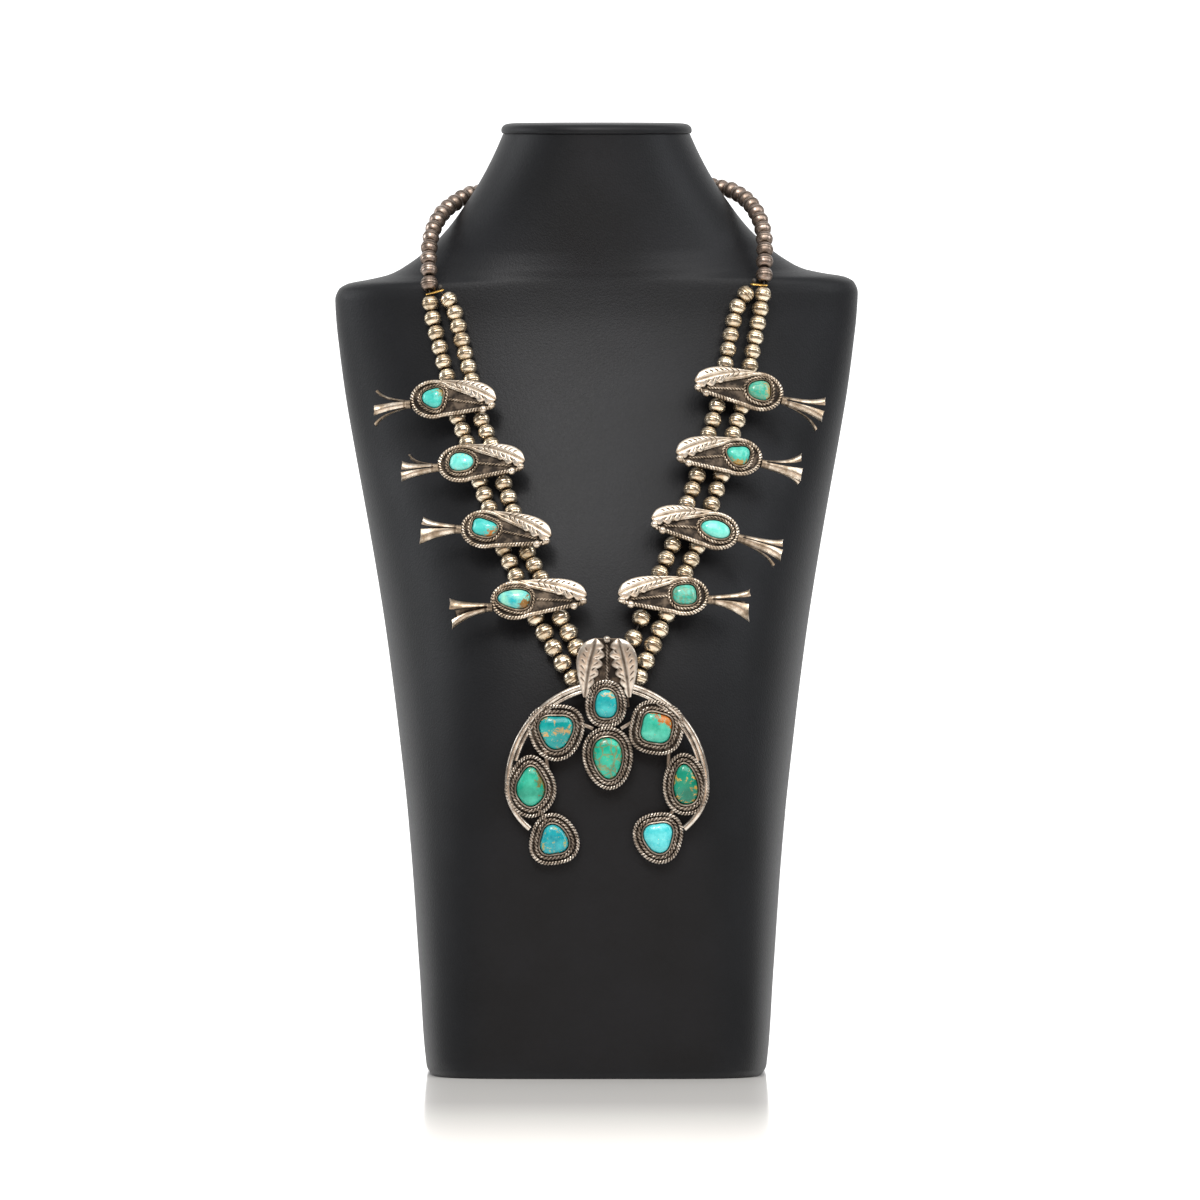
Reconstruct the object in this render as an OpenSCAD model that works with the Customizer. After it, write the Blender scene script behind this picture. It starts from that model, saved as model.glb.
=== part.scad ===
// Squash blossom necklace of silver and turquoise, on a plain neck bust.
// The origin is on the floor under the middle of the neck. +Z is up and the front faces -Y.

/* [Neck bust] */
// Width across the shoulders
shoulder_w = 210.8; // [208:0.4:214]
// Diameter of the padded disc that closes the neck
cap_d = 76.8; // [76:0.2:80]
// Thickness of that disc
cap_h = 4.4; // [3.4:0.1:6]

/* [Beads and thread] */
// Diameter of the beads round the neck
neck_bead_d = 6.9; // [6.7:0.1:6.9]
// Diameter of the beads down the chest
chest_bead_d = 7.1; // [6.9:0.1:7.1]
// Diameter of the beads next to the pendant
low_bead_d = 7.5; // [7.3:0.1:7.5]
// Length of a bead along its hole, as a share of its diameter
bead_share = 0.82; // [0.8:0.01:0.83]
// The same share of the beads next to the pendant, which are rounder
low_share = 0.87; // [0.84:0.01:0.88]
// Diameter of the hole through a bead
bead_hole_d = 2.1; // [1.9:0.1:2.2]
// Diameter of the thread
thread_d = 0.8; // [0.6:0.1:0.9]

/* [Silver work] */
// Thickness of the back plates
plate_t = 1; // [0.8:0.1:1.2]
// Diameter of the border wires
border_d = 1.7; // [1.5:0.1:1.9]
// Diameter of the rope wires round the bezels
rope_d = 1; // [0.8:0.1:1.2]
// Height of the bezels above their plate
bezel_h = 1.7; // [1.4:0.1:2]
// Length of a blossom's plate
plate_l = 37; // [36:0.5:38]

/* [Stones] */
// Height of the domed stones above their plate
stone_h = 3.2; // [2.6:0.1:3.6]

/* [Hidden] */

silver = "silver";
turquoise = "mediumturquoise";
leatherette = [0.13, 0.13, 0.13];

// The bust is a stack of sections. Front and back halves are rounded ovals of their own depth.
// height, half width, front depth, back depth, front squareness
BUST_ROWS = [
    [0, 66.6, 103, 36, 6],
    [3, 68.4, 104, 37, 6],
    [40, 71.2, 105, 38, 5.2],
    [80, 74, 105.5, 38, 4.4],
    [105, 76.2, 105, 38, 3.8],
    [130, 79, 103.5, 38, 3.3],
    [155, 82, 100, 38, 2.9],
    [180, 85.4, 94, 38, 2.6],
    [205, 89.4, 85.5, 38, 2.4],
    [230, 93.8, 74.5, 38, 2.3],
    [252, 97.8, 63.5, 38, 2.2],
    [272, 101.2, 54, 38, 2.2],
    [290, 103.6, 47, 38, 2.2],
    [303, 105, 43, 38, 2.2],
    [311, 105.4, 41.3, 37.5, 2.2],
    [315, 104, 40.6, 36.5, 2.2],
    [317.4, 100, 40.2, 36, 2.2],
    [318.8, 92, 40, 36, 2.2],
    [320.8, 83.5, 39.8, 36, 2.2],
    [324.5, 76.5, 39.4, 36, 2.1],
    [330, 69, 39, 36.4, 2],
    [339, 60, 38.6, 37, 2],
    [349, 52.6, 38.2, 37.4, 2],
    [359, 46.2, 37.9, 37.6, 2],
    [369, 41, 37.7, 37.7, 2],
    [376.2, 37.8, 37.7, 37.7, 2]
];
neck_top = BUST_ROWS[len(BUST_ROWS) - 1][0];
section_points = 27;
back_squareness = 4.5;
round_back = 2;
round_from = 330;
square_to = 300;
// The right shoulder stands a little higher: rise for each mm to the right, and how much of it at each height.
shoulder_tilt = 0.014;
TILT_ROWS = [[120, 0], [290, 1], [345, 1], [374, 0]];

BUST_W = [for (r = BUST_ROWS) [r[0], r[1]]];
BUST_FRONT = [for (r = BUST_ROWS) [r[0], r[2]]];
BUST_BACK = [for (r = BUST_ROWS) [r[0], r[3]]];
BUST_POWER = [for (r = BUST_ROWS) [r[0], r[4]]];
width_scale = shoulder_w / (2 * 105.4);

function half_width(z) = lookup(z, BUST_W) * lookup(z, [[300, width_scale], [345, 1]]);
function tilt_share(z) = lookup(z, TILT_ROWS);
function level(x, z) = z - shoulder_tilt * x * tilt_share(z);
function back_power(z) = lookup(z, [[square_to, back_squareness], [round_from, round_back]]);

// Depth of the bust's front at a place that is seen from the front.
function front_y(x, z) =
    let (h = level(x, z), p = lookup(h, BUST_POWER), near = 1 - pow(abs(x) / half_width(h), p))
    -lookup(h, BUST_FRONT) * pow(max(near, 0.001), 1 / p);
function unit(v) = v / norm(v);
function front_normal(x, z) = unit([
    (front_y(x + 1, z) - front_y(x - 1, z)) / 2, -1, (front_y(x, z + 1) - front_y(x, z - 1)) / 2
]);
// A point that stands off the front by a lift measured square to it.
function in_front(x, z, lift) = [x, front_y(x, z) - lift / abs(front_normal(x, z)[1]), z];

// One point of a section, at an angle from the front.
function signed_pow(v, p) = sign(v) * pow(abs(v), p);
function section_point(h, angle, grow = 0) =
    let (front = cos(angle) > 0, p = front ? lookup(h, BUST_POWER) : back_power(h),
         depth = lookup(h, front ? BUST_FRONT : BUST_BACK) + grow,
         x = (half_width(h) + grow) * signed_pow(sin(angle), 2 / p))
    [x, -depth * signed_pow(cos(angle), 2 / p), h + shoulder_tilt * x * tilt_share(h)];

// A smooth line through points, cut into steps between each two of them.
function curve_at(a, b, c, d, t) =
    (2 * b + (c - a) * t + (2 * a - 5 * b + 4 * c - d) * t * t + (3 * b - a - 3 * c + d) * t * t * t) / 2;
function smooth(points, steps) =
    let (n = len(points))
    [for (i = [0 : n - 2], s = [0 : steps - 1])
        curve_at(points[max(i - 1, 0)], points[i], points[i + 1], points[min(i + 2, n - 1)], s / steps),
     points[n - 1]];
function reach(line) =
    [for (i = 0, d = 0; i < len(line);
          d = d + (i + 1 < len(line) ? norm(line[i + 1] - line[i]) : 0), i = i + 1) d];
function span_at(marks, s) = max([0, for (i = [0 : len(marks) - 2]) if (marks[i] <= s) i]);
function reversed(list) = [for (i = [len(list) - 1 : -1 : 0]) list[i]];

// Turns +Z to a direction.
module along(direction) {
    rotate([0, acos(direction[2] / norm(direction)), atan2(direction[1], direction[0])]) children();
}

// A tube swept along points, as one closed solid.
module sweep(line, d, sides) {
    n = len(line);
    ways = [for (i = [0 : n - 1]) unit(line[min(i + 1, n - 1)] - line[max(i - 1, 0)])];
    rings = [for (i = [0 : n - 1])
        let (a = unit(cross(ways[i], abs(ways[i][2]) > 0.9 ? [1, 0, 0] : [0, 0, 1])), b = cross(a, ways[i]))
        [for (k = [0 : sides - 1]) line[i] + d / 2 * (cos(360 * k / sides) * a + sin(360 * k / sides) * b)]];
    skin(rings);
}

// Joins rings of equally many points into a closed solid.
module skin(rings) {
    n = len(rings);
    m = len(rings[0]);
    polyhedron(
        points = [for (r = rings) each r],
        faces = [
            [for (k = [m - 1 : -1 : 0]) k],
            for (i = [0 : n - 2], k = [0 : m - 1]) each [
                [i * m + k, i * m + (k + 1) % m, (i + 1) * m + (k + 1) % m],
                [i * m + k, (i + 1) * m + (k + 1) % m, (i + 1) * m + k]
            ],
            [for (k = [0 : m - 1]) (n - 1) * m + k]
        ]
    );
}

// A closed moulding round a line that lies in the XY plane. Its section is given as points of out and up.
module hoop(line, section) {
    n = len(line);
    sides = len(section);
    rings = [for (i = [0 : n - 1])
        let (way = unit(line[(i + 1) % n] - line[(i + n - 1) % n]), out = [way[1], -way[0]])
        [for (q = section) [line[i][0] + q[0] * out[0], line[i][1] + q[0] * out[1], q[1]]]];
    polyhedron(
        points = [for (r = rings) each r],
        faces = [for (i = [0 : n - 1], k = [0 : sides - 1])
            let (j = (i + 1) % n, l = (k + 1) % sides)
            each [[i * sides + k, j * sides + l, j * sides + k], [i * sides + k, i * sides + l, j * sides + l]]]
    );
}

// Stones: one row each. Every outline is an oval with a three and a four cornered swell.
// half length, half height, turn, three corners, their turn, four corners, their turn
BLOSSOM_STONES = [
    [4.5, 4.2, 0, 0.1, 60, 0.02, 45],
    [5.1, 4, 0, 0.04, 0, 0.02, 45],
    [5.6, 3.7, -6, 0.05, 20, 0.05, 45],
    [6.7, 4.1, -4, 0.08, 180, 0.02, 40],
    [4.8, 4.2, 0, 0.06, 0, 0.03, 45],
    [4.8, 4.2, 0, 0.1, 270, 0.03, 45],
    [6.1, 3.8, 10, 0.02, 0, 0, 0],
    [5.1, 4.4, 0, 0.02, 0, 0.05, 45]
];
// middle to the right, middle up, then the same columns, and the width of the setting outside the stone
NAJA_STONES = [
    [-0.4, 21.2, 4.5, 5.9, 0, 0.03, 90, 0.03, 45, 4],
    [0.3, 0, 5.8, 8.4, 6, 0.05, 270, 0, 0, 4.4],
    [-20.3, 10.4, 6.7, 6.8, 0, 0.1, 150, 0.02, 45, 4.8],
    [-30.4, -12, 5.5, 7.7, 0, 0.05, 90, 0.04, 0, 4.7],
    [-21.2, -33.1, 5.6, 6, 0, 0.1, 100, 0.02, 45, 4.6],
    [19.7, 11.7, 6.4, 6.3, -12, 0.02, 0, 0.07, 45, 5],
    [31.3, -11.2, 4.8, 8.1, 6, 0.06, 330, 0, 0, 4.5],
    [20.5, -31.8, 5.8, 6.1, 0, 0.09, 40, 0.02, 45, 4.4]
];
stone_points = 10;
stone_gap = 0.13;
// how far a stone stands off the plate under it
stone_foot = 0.12;
bezel_wall = 0.5;

function stone_outline(row, grow, points) = [for (i = [0 : points - 1])
    let (a = 360 * i / points,
         swell = 1 + row[3] * cos(3 * (a - row[4])) + row[5] * cos(4 * (a - row[6])),
         x = (row[0] * swell + grow) * cos(a), y = (row[1] * swell + grow) * sin(a))
    [x * cos(row[2]) - y * sin(row[2]), x * sin(row[2]) + y * cos(row[2])]];
function naja_stone(i) = [for (k = [2 : 8]) NAJA_STONES[i][k]];
naja_mid = [for (r = NAJA_STONES) [r[0], r[1]]];

// A cabochon that rests on a plate whose face is at z = 0.
module cabochon(row) {
    // height share, width share
    levels = [[0, 1], [0.45, 0.99], [0.85, 0.66]];
    points = stone_outline(row, 0, stone_points);
    crown = len(levels) * stone_points;
    polyhedron(
        points = [
            for (l = levels, p = points) [p[0] * l[1], p[1] * l[1], stone_foot + l[0] * (stone_h - stone_foot)],
            [0, 0, stone_h]
        ],
        faces = [
            [for (k = [0 : stone_points - 1]) k],
            for (i = [0 : len(levels) - 2], k = [0 : stone_points - 1])
                let (j = (k + 1) % stone_points, a = i * stone_points, b = a + stone_points)
                each [[a + k, b + j, a + j], [a + k, b + k, b + j]],
            for (k = [0 : stone_points - 1])
                let (a = crown - stone_points)
                [a + k, crown, a + (k + 1) % stone_points]
        ]
    );
}

// The wall that holds a stone, with the rope wire soldered round its foot. The plate's face is at z = 0.
module bezel(row) {
    sunk = 0.1;
    rope_out = bezel_wall + rope_d;
    hoop(stone_outline(row, stone_gap, stone_points), [
        [rope_out, -sunk], [rope_out - 0.4 * rope_d, 0.7 * rope_d], [bezel_wall, bezel_h], [0, bezel_h], [0, -sunk]
    ]);
}

// A back plate and its half round border wire in one. The outlines are the plate's edge, the wire's crown
// and its inner edge.
module tray(edge, crown, inner) {
    shoulder = 0.4;
    function lift(outline, z) = [for (q = reversed(outline)) [q[0], q[1], z]];
    skin([
        lift(edge, 0), lift(edge, plate_t + shoulder), lift(crown, plate_t + 0.6 * border_d), lift(inner, plate_t)
    ]);
}

// A domed leaf from its stem to its tip. The second edge is scalloped.
// It stands on the plate and its vein is sunk between two swells.
// The greater widest is, the nearer to its tip the leaf is broadest.
module leaf(stem, tip, bow, wide_a, wide_b, base, rise, widest) {
    steps = 6;
    way = unit(tip - stem);
    side = [-way[1], way[0]];
    rings = [for (i = [0 : steps])
        let (t = i / steps,
             mid = stem + t * (tip - stem) + bow * sin(180 * t) * side,
             full = 0.12 + 0.88 * pow(sin(180 * pow(0.02 + 0.93 * t, widest)), 0.7),
             notch = i % 2 == 1 ? 0.88 : 1,
             a = wide_a * full, b = wide_b * full * notch,
             lift = rise * (0.45 + 0.55 * full))
        [for (q = [
            [a, base], [a, base + 0.55 * lift], [a * 0.5, base + lift], [0, base + 0.8 * lift],
            [-b * 0.5, base + lift], [-b, base + 0.45 * lift], [-b, base]
        ]) [mid[0] + q[0] * side[0], mid[1] + q[0] * side[1], q[1]]]];
    skin([for (r = rings) reversed(r)]);
}

// Blossoms, one row each, the left four and then the right four, from the top down.
// side, right of the middle, height, tilt of the pointed end, slant of the strands,
// length of the pointed end as a share, stem's height from the middle line, turn of the petals down from that line,
// place of the strands
BLOSSOMS = [
    [-1, -55.7, 269.2, -6.1, 16, 0.96, -3.6, 9, 2.4],
    [-1, -44.4, 244.1, -3.4, 18, 0.96, -2.8, 10, 0],
    [-1, -35.3, 217, -11, 22, 1.02, -2.4, 9, 0],
    [-1, -22.6, 190.6, -0.9, 27, 1.05, -3.4, 3, 0],
    [1, 55.6, 273.9, 3.8, 14, 0.99, -3.4, 10, 0],
    [1, 47.2, 247, -2, 17, 0.95, -3.8, 15, -0.5],
    [1, 37.8, 219, 5.4, 21, 0.97, -2.6, 9, -0.5],
    [1, 25.4, 191.8, -3.9, 24, 0.98, -2.6, 4, -0.6]
];
// Three petals for each blossom. No two blossoms were opened alike.
// length, angle at the root from the front over the top, then up and out of both ends of the lip
PETALS = [
    [[12.9, 80, 4.9, 2, 5.1, -1.5], [13.3, -10, -4.6, 0.8, -0.4, 1.2], [13.6, 235, -6.4, -3.5, -6.6, -0.8]],
    [[11.3, 120, 6.6, -0.5, 6.2, -3], [13.5, 50, -0.1, 1.4, 4, 0.2], [13.7, -60, -4.5, 0, -1, 1.4]],
    [[13.3, 180, 2, -3, -3, -3], [14.9, 50, 0.7, 1.2, 4.2, 0], [14.9, -55, -7.3, 0, -1.1, 1.2]],
    [[13.8, 190, 0, -2.8, -4.5, -2.6], [15.5, 50, -1, 1.3, 3.9, 0.2], [14.5, -70, -8.6, -0.4, -5, 1]],
    [[15.2, 225, -6.9, -4, -7.3, -1.5], [16.1, 60, 1.5, 1.2, 5, 0.2], [16.2, -50, -4.9, -0.6, -0.7, 1]],
    [[15.3, 215, -2.9, -4, -3.3, -1.5], [14.3, 70, 3.8, 1.2, 7.6, 0.2], [15.3, -40, -3.9, -0.6, 1.1, 1]],
    [[15.4, 225, -5.9, -4, -6.2, -1.5], [16.8, 55, 0, 1.2, 3.5, 0.2], [17.2, -50, -5.3, -0.6, -0.9, 1]],
    [[14.2, 190, 0, -2.8, -5, -2.6], [15.6, 50, 0.8, 1.2, 3.9, 0.2], [14.7, -60, -9.5, -0.4, -2.4, 1.2]]
];
plate_lift = 8.2;
strand_lift = 4.3;
shank_gap = 10.2;
shank_l = 4.6;
shank_d = 3.6;
shank_bore = 1.9;
stone_out = 9.7;
// A blossom's plate, from its stone: the pointed end, the other end, and half its height
plate_in = 27;
plate_out = plate_l - plate_in;
plate_high = 8.2;
oval_y = -0.3;
tip_r = 2.2;
tip_y = 0.2;
// The stem at the other end, and the sheet its petals are cut from
stem_l = 1;
stem_r = 1.7;
petal_t = 0.7;
petal_spread = 46;
petal_bow = 0.7;
// Two balls at the pointed end
BALLS = [[22.8, -2.4], [26.2, -0.2]];
ball_d = 3;

function blossom_side(i) = BLOSSOMS[i][0];
function blossom_face(i) = front_normal(BLOSSOMS[i][1], BLOSSOMS[i][2]);
function blossom_spot(i) = in_front(BLOSSOMS[i][1], BLOSSOMS[i][2], plate_lift);
// The direction of a blossom's length, to the right as it is seen from the front.
function blossom_right(i) =
    let (n = blossom_face(i), a = -blossom_side(i) * BLOSSOMS[i][3])
    unit([cos(a), -(n[0] * cos(a) + n[2] * sin(a)) / n[1], sin(a)]);
function blossom_up(i) = cross(blossom_face(i), blossom_right(i));
function blossom_point(i, u, v, w) =
    blossom_spot(i) - blossom_side(i) * u * blossom_right(i) + v * blossom_up(i) + w * blossom_face(i);

// Puts a thing that is drawn with its pointed end to the right on its place on the chest.
module on_chest(i) {
    r = blossom_right(i);
    u = blossom_up(i);
    n = blossom_face(i);
    p = blossom_spot(i);
    multmatrix([
        [r[0], u[0], n[0], p[0]], [r[1], u[1], n[1], p[1]], [r[2], u[2], n[2], p[2]], [0, 0, 0, 1]
    ])
        mirror([blossom_side(i) > 0 ? 1 : 0, 0, 0]) children();
}

// Outline of a plate round its stone, which is at the origin: an oval and a small round tip.
oval_steps = 10;
oval_from = 56;
tip_steps = 2;
tip_turn = 65;
function drop_outline(tip, grow) = [
    for (k = [0 : oval_steps])
        let (a = oval_from + 2 * (180 - oval_from) * k / oval_steps)
        [(plate_out + grow) * cos(a), (plate_high + grow) * sin(a) + oval_y],
    for (k = [0 : tip_steps])
        let (a = tip_turn * (2 * k / tip_steps - 1))
        [tip - tip_r + (tip_r + grow) * cos(a), tip_y + (tip_r + grow) * sin(a)]
];

// One petal of sheet, which points to -X: a part of the round stem that opens to a lip of its own.
// The row is one of PETALS.
module petal(row) {
    steps = 3;
    a = [row[2], row[3]];
    b = [row[4], row[5]];
    way = unit(b - a);
    out = [-way[1], way[0]];
    rings = [for (i = [0 : steps])
        let (t = i / steps, open = 0.5 * t + 0.5 * pow(t, 3))
        [for (q = [[-1, 0], [0, 0], [1, 0], [1, petal_t], [0, petal_t], [-1, petal_t]])
            let (turn = row[1] + petal_spread * q[0],
                 root = (stem_r - q[1]) * [sin(turn), cos(turn)],
                 lip = (a + b) / 2 + q[0] * (b - a) / 2 + (petal_bow * (1 - q[0] * q[0]) - q[1]) * out,
                 here = (1 - open) * root + open * lip)
            [-row[0] * t, here[0], here[1]]]];
    skin([for (r = rings) reversed(r)]);
}

module blossom(i) {
    row = BLOSSOM_STONES[i];
    slant = BLOSSOMS[i][4] - BLOSSOMS[i][3];
    long = BLOSSOMS[i][5];
    tip = plate_in * long;
    rib_step = 3.6 * long;
    rib_d = 0.9;
    color(silver) on_chest(i) translate([-stone_out, 0, 0]) {
        tray(drop_outline(tip, 0), drop_outline(tip, -border_d / 2), drop_outline(tip, -border_d));
        translate([0, 0, plate_t]) {
            bezel(row);
            // Midrib of short twisted lengths
            for (s = [0 : 3])
                hull() for (e = [0, 1])
                    translate([row[0] + 2 + rib_step * (s + 0.96 * e), 0.3 - 0.1 * s, 0])
                        rotate([45 * e, 0, 0]) cube([0.1, rib_d, rib_d], center = true);
        }
        leaf([1.6, 7.7], [tip - 0.1, 2.4], 1.3, 3.5, 4.2, plate_t, 2.2, 1.9);
        // The balls and the solder under them
        for (b = BALLS) translate([b[0] * long, b[1], plate_t + 1]) sphere(d = ball_d, $fn = 6);
        hull() for (b = BALLS) translate([b[0] * long, b[1], 0.2]) cylinder(d = ball_d / 2, h = plate_t, $fn = 6);
        // Stem and its three petals
        translate([-plate_out, BLOSSOMS[i][6], plate_t + 0.2]) rotate([0, 0, BLOSSOMS[i][7]]) {
            hull() for (x = [1, -stem_l])
                translate([x, 0, 0]) rotate([0, 90, 0]) cylinder(r = stem_r, h = 0.2, $fn = 6);
            translate([0.3 - stem_l, 0, 0]) for (p = PETALS[i]) petal(p);
        }
        // Shank tubes that carry the strands behind the plate
        for (s = [-1, 1])
            translate([stone_out + BLOSSOMS[i][8] + s * shank_gap / 2, 0, strand_lift - plate_lift])
                rotate([0, 0, slant]) shank();
    }
}

// A tube along Y with a short post up to the plate.
module shank() {
    difference() {
        union() {
            rotate([90, 0, 0]) cylinder(d = shank_d, h = shank_l, center = true, $fn = 6);
            hull() for (z = [1.3, plate_lift - strand_lift + 0.1])
                translate([0, 0, z]) cube([2, shank_l - 1, 0.2], center = true);
        }
        rotate([90, 0, 0]) cylinder(d = shank_bore, h = shank_l + 2, center = true, $fn = 6);
    }
}

module blossom_stone(i) {
    color(turquoise) on_chest(i) translate([-stone_out, 0, plate_t]) cabochon(BLOSSOM_STONES[i]);
}

// Naja: drawn in the XY plane with the plate's back at z = 0.
naja_spot = [4.2, -106.6, 128.6];
arc_mid = -11.5;
arc_rx = 39.6;
arc_ry = 41;
arc_ry_low = 27;
arc_wire = 2.4;
inner_wire = 1.6;
tube_d = 3.4;
tube_bore = 2;
tube_back = 3.6;
// height and half length of the tubes for the two threads
outer_tube = [28.4, 9];
inner_tube = [34.6, 4.6];
// start and end of the short bars between the settings
NAJA_BARS = [
    [[-24.6, 2.4], [-23.4, -6]], [[24.6, 3], [24.4, -6]], [[-27, -21], [-24, -26]], [[27, -20], [24, -25]],
    [[-5.6, 11.4], [-11, 13.6]], [[5.6, 11.4], [11, 14.6]]
];
bar_w = 1.5;

module at_naja() {
    translate(naja_spot) rotate([90, 0, 0]) children();
}

function arc_line(side, grow, from, to, steps) = [for (k = [0 : steps])
    let (a = from + (to - from) * k / steps)
    [side * (arc_rx + grow) * sin(a), arc_mid + ((a < 90 ? arc_ry : arc_ry_low) + grow) * cos(a), arc_wire / 2]];

module naja() {
    points = 10;
    color(silver) at_naja() {
        for (i = [0 : 7]) {
            row = naja_stone(i);
            outside = NAJA_STONES[i][9];
            translate([naja_mid[i][0], naja_mid[i][1], 0]) {
                tray(stone_outline(row, outside, points), stone_outline(row, outside - border_d / 2, points),
                    stone_outline(row, outside - border_d, points));
                translate([0, 0, plate_t]) bezel(row);
            }
        }
        for (s = [-1, 1]) {
            sweep(arc_line(s, 0, 12, 129, 10), arc_wire, 5);
            sweep(arc_line(s, -2, 12, 75, 6), inner_wire, 4);
        }
        for (b = NAJA_BARS)
            hull() for (p = b) translate([p[0], p[1], 0.9]) cube([bar_w, bar_w, 1.6], center = true);
        // Back plate that tapers up between the leaves
        linear_extrude(height = plate_t) polygon([[-9, 20], [9, 20], [7.2, 36], [5, 47.4], [-5, 47.4], [-7.2, 36]]);
        translate([0, 0, plate_t]) {
            for (y = [29, 37]) hull() for (e = [0, 1])
                translate([0, y + 7.6 * e, 0]) rotate([0, 45 * e, 0]) cube([1, 0.2, 1], center = true);
            translate([0, 47, 0.6]) sphere(d = ball_d, $fn = 6);
            for (s = [0, 1]) mirror([s, 0, 0]) leaf([-8.8, 23.9], [-4.3, 47.4], 0.8, 5.4, 5.4, 0, 2.4, 1.5);
        }
        // Tubes behind it for the two threads
        for (t = [outer_tube, inner_tube])
            translate([0, t[0], -tube_back]) rotate([0, 90, 0]) difference() {
                union() {
                    cylinder(d = tube_d, h = 2 * t[1], center = true, $fn = 6);
                    translate([-tube_back / 2 - 0.6, 0, 0]) cube([tube_back - 1, 2, 8], center = true);
                }
                cylinder(d = tube_bore, h = 2 * t[1] + 2, center = true, $fn = 6);
            }
    }
}

module naja_stone_piece(i) {
    color(turquoise) at_naja() translate([naja_mid[i][0], naja_mid[i][1], plate_t]) cabochon(naja_stone(i));
}

// Strands. Every stretch between two fixed places has its own line.
link_room = 0.8;
clasp_l = 14;
clasp_d = 5.2;
clasp_z = 357;
clasp_bore = 1.8;
clasp_bore_l = 4;
line_steps = 8;
thread_steps = 2;
bend_steps = 3;
bead_gap = 0.25;
mouth = 0.5;
tube_mouth = 2.5;

// Where a strand enters (end -1) or leaves (end 1) a blossom's shank, on the outer or inner side (which -1 or 1).
function shank_end(i, which, end) =
    let (a = BLOSSOMS[i][4] - BLOSSOMS[i][3], far = end * (shank_l / 2 + mouth))
    blossom_point(i, BLOSSOMS[i][8] + which * shank_gap / 2 + far * sin(a), -far * cos(a),
        strand_lift - plate_lift);
function tube_end(side, tube) =
    naja_spot + [side * (tube[1] + tube_mouth), tube_back, tube[0]];

// A point midway between two others, moved out to where a bead just clears the bust.
function bridge(a, b, lift) =
    let (m = (a + b) / 2, out = in_front(m[0], m[2], lift)) [m[0], min(m[1], out[1]), m[2]];

// First blossom of a side.
function first(side) = side < 0 ? 0 : 4;
top_lift = 3.9;
chest_lift = 4.3;
low_lift = 4.5;
// Right of the middle, and height, of: the split, the outer strand's top stretch, the inner strand's start, bend and
// top stretch, then the lowest stretch of the outer and of the inner strand
LEFT_ROUTE = [
    [-67, 312.4], [-65.3, 300.6], [-61.2, 311.9], [-58, 308], [-55.6, 300], [-14.2, 167], [-8.4, 173]
];
RIGHT_ROUTE = [
    [67.2, 315.8], [65.2, 303.2], [61.8, 314.4], [57.9, 309.6], [55.2, 302.4], [19.9, 167.2], [14, 173.6]
];
function route(side) = side < 0 ? LEFT_ROUTE : RIGHT_ROUTE;
function on_route(side, k, lift) = in_front(route(side)[k][0], route(side)[k][1], lift);

function outer_stretches(side) =
    let (f = first(side), split = on_route(side, 0, top_lift))
    [
        [split + [0, -0.1, -link_room], on_route(side, 1, top_lift), shank_end(f, -1, -1)],
        for (i = [f : f + 2])
            let (a = shank_end(i, -1, 1), b = shank_end(i + 1, -1, -1)) [a, bridge(a, b, chest_lift), b],
        [shank_end(f + 3, -1, 1), on_route(side, 5, low_lift), tube_end(side, outer_tube)]
    ];
function inner_stretches(side) =
    let (f = first(side))
    [
        [for (k = [2 : 4]) on_route(side, k, top_lift), shank_end(f, 1, -1)],
        for (i = [f : f + 2])
            let (a = shank_end(i, 1, 1), b = shank_end(i + 1, 1, -1)) [a, bridge(a, b, chest_lift), b],
        [shank_end(f + 3, 1, 1), on_route(side, 6, low_lift), tube_end(side, inner_tube)]
    ];

// The single strand, from the split up over the shoulder to the side of the neck and round behind it to the clasp.
// It hangs free between the shoulder's front edge and the neck.
// left of the middle, depth, height, all on the left side
NECK_ROUTE = [
    [67.2, -33.2, 321], [67.3, -25, 330], [65.6, -15, 338], [61.6, -3.4, 344.8], [55.8, 8.2, 349.2]
];
right_rise = 3.4;
right_out = 0.2;
// height behind the neck before it turns to the clasp
nape_z = 352.2;
function neck_stretch(side) =
    let (split = on_route(side, 0, top_lift), rise = side > 0 ? right_rise : 0, out = side > 0 ? right_out : 0)
    [
        split + [0, 0.4, 1.5 * link_room],
        for (p = NECK_ROUTE) [side * (p[0] + out), p[1], p[2] + rise],
        for (a = [112 : 18 : 148])
            section_point(nape_z + rise / 2 + (clasp_z - nape_z) * pow((a - 112) / 54, 1.2), side * a, 4.6),
        clasp_end(side)
    ];
function clasp_end(side) = [side * (clasp_l / 2 + mouth), clasp_y, clasp_z];
clasp_y = lookup(clasp_z, BUST_BACK) + clasp_d / 2 + 0.8;

function lines(stretches, steps) = [for (s = stretches) smooth(s, steps)];

module bead(d, long) {
    rotate_extrude() intersection() {
        circle(d = d);
        translate([bead_hole_d / 2, -long / 2]) square([d, long]);
    }
}

// Beads set evenly along a line.
module bead_row(line, d, share) {
    long = d * share;
    marks = reach(line);
    total = marks[len(marks) - 1];
    count = floor(total / (long + bead_gap));
    for (i = [0 : count - 1]) {
        s = (i + 0.5) * total / count;
        k = span_at(marks, s);
        way = line[k + 1] - line[k];
        translate(line[k] + way * (s - marks[k]) / norm(way)) along(way) bead(d, long);
    }
}

module strand(stretches) {
    color(silver) for (i = [0 : 4])
        bead_row(smooth(stretches[i], line_steps), i < 2 ? neck_bead_d : i < 4 ? chest_bead_d : low_bead_d,
            i < 4 ? bead_share : low_share);
}

module neck_beads(side) {
    color(silver) bead_row(smooth(neck_stretch(side), line_steps), neck_bead_d, bead_share);
}

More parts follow.
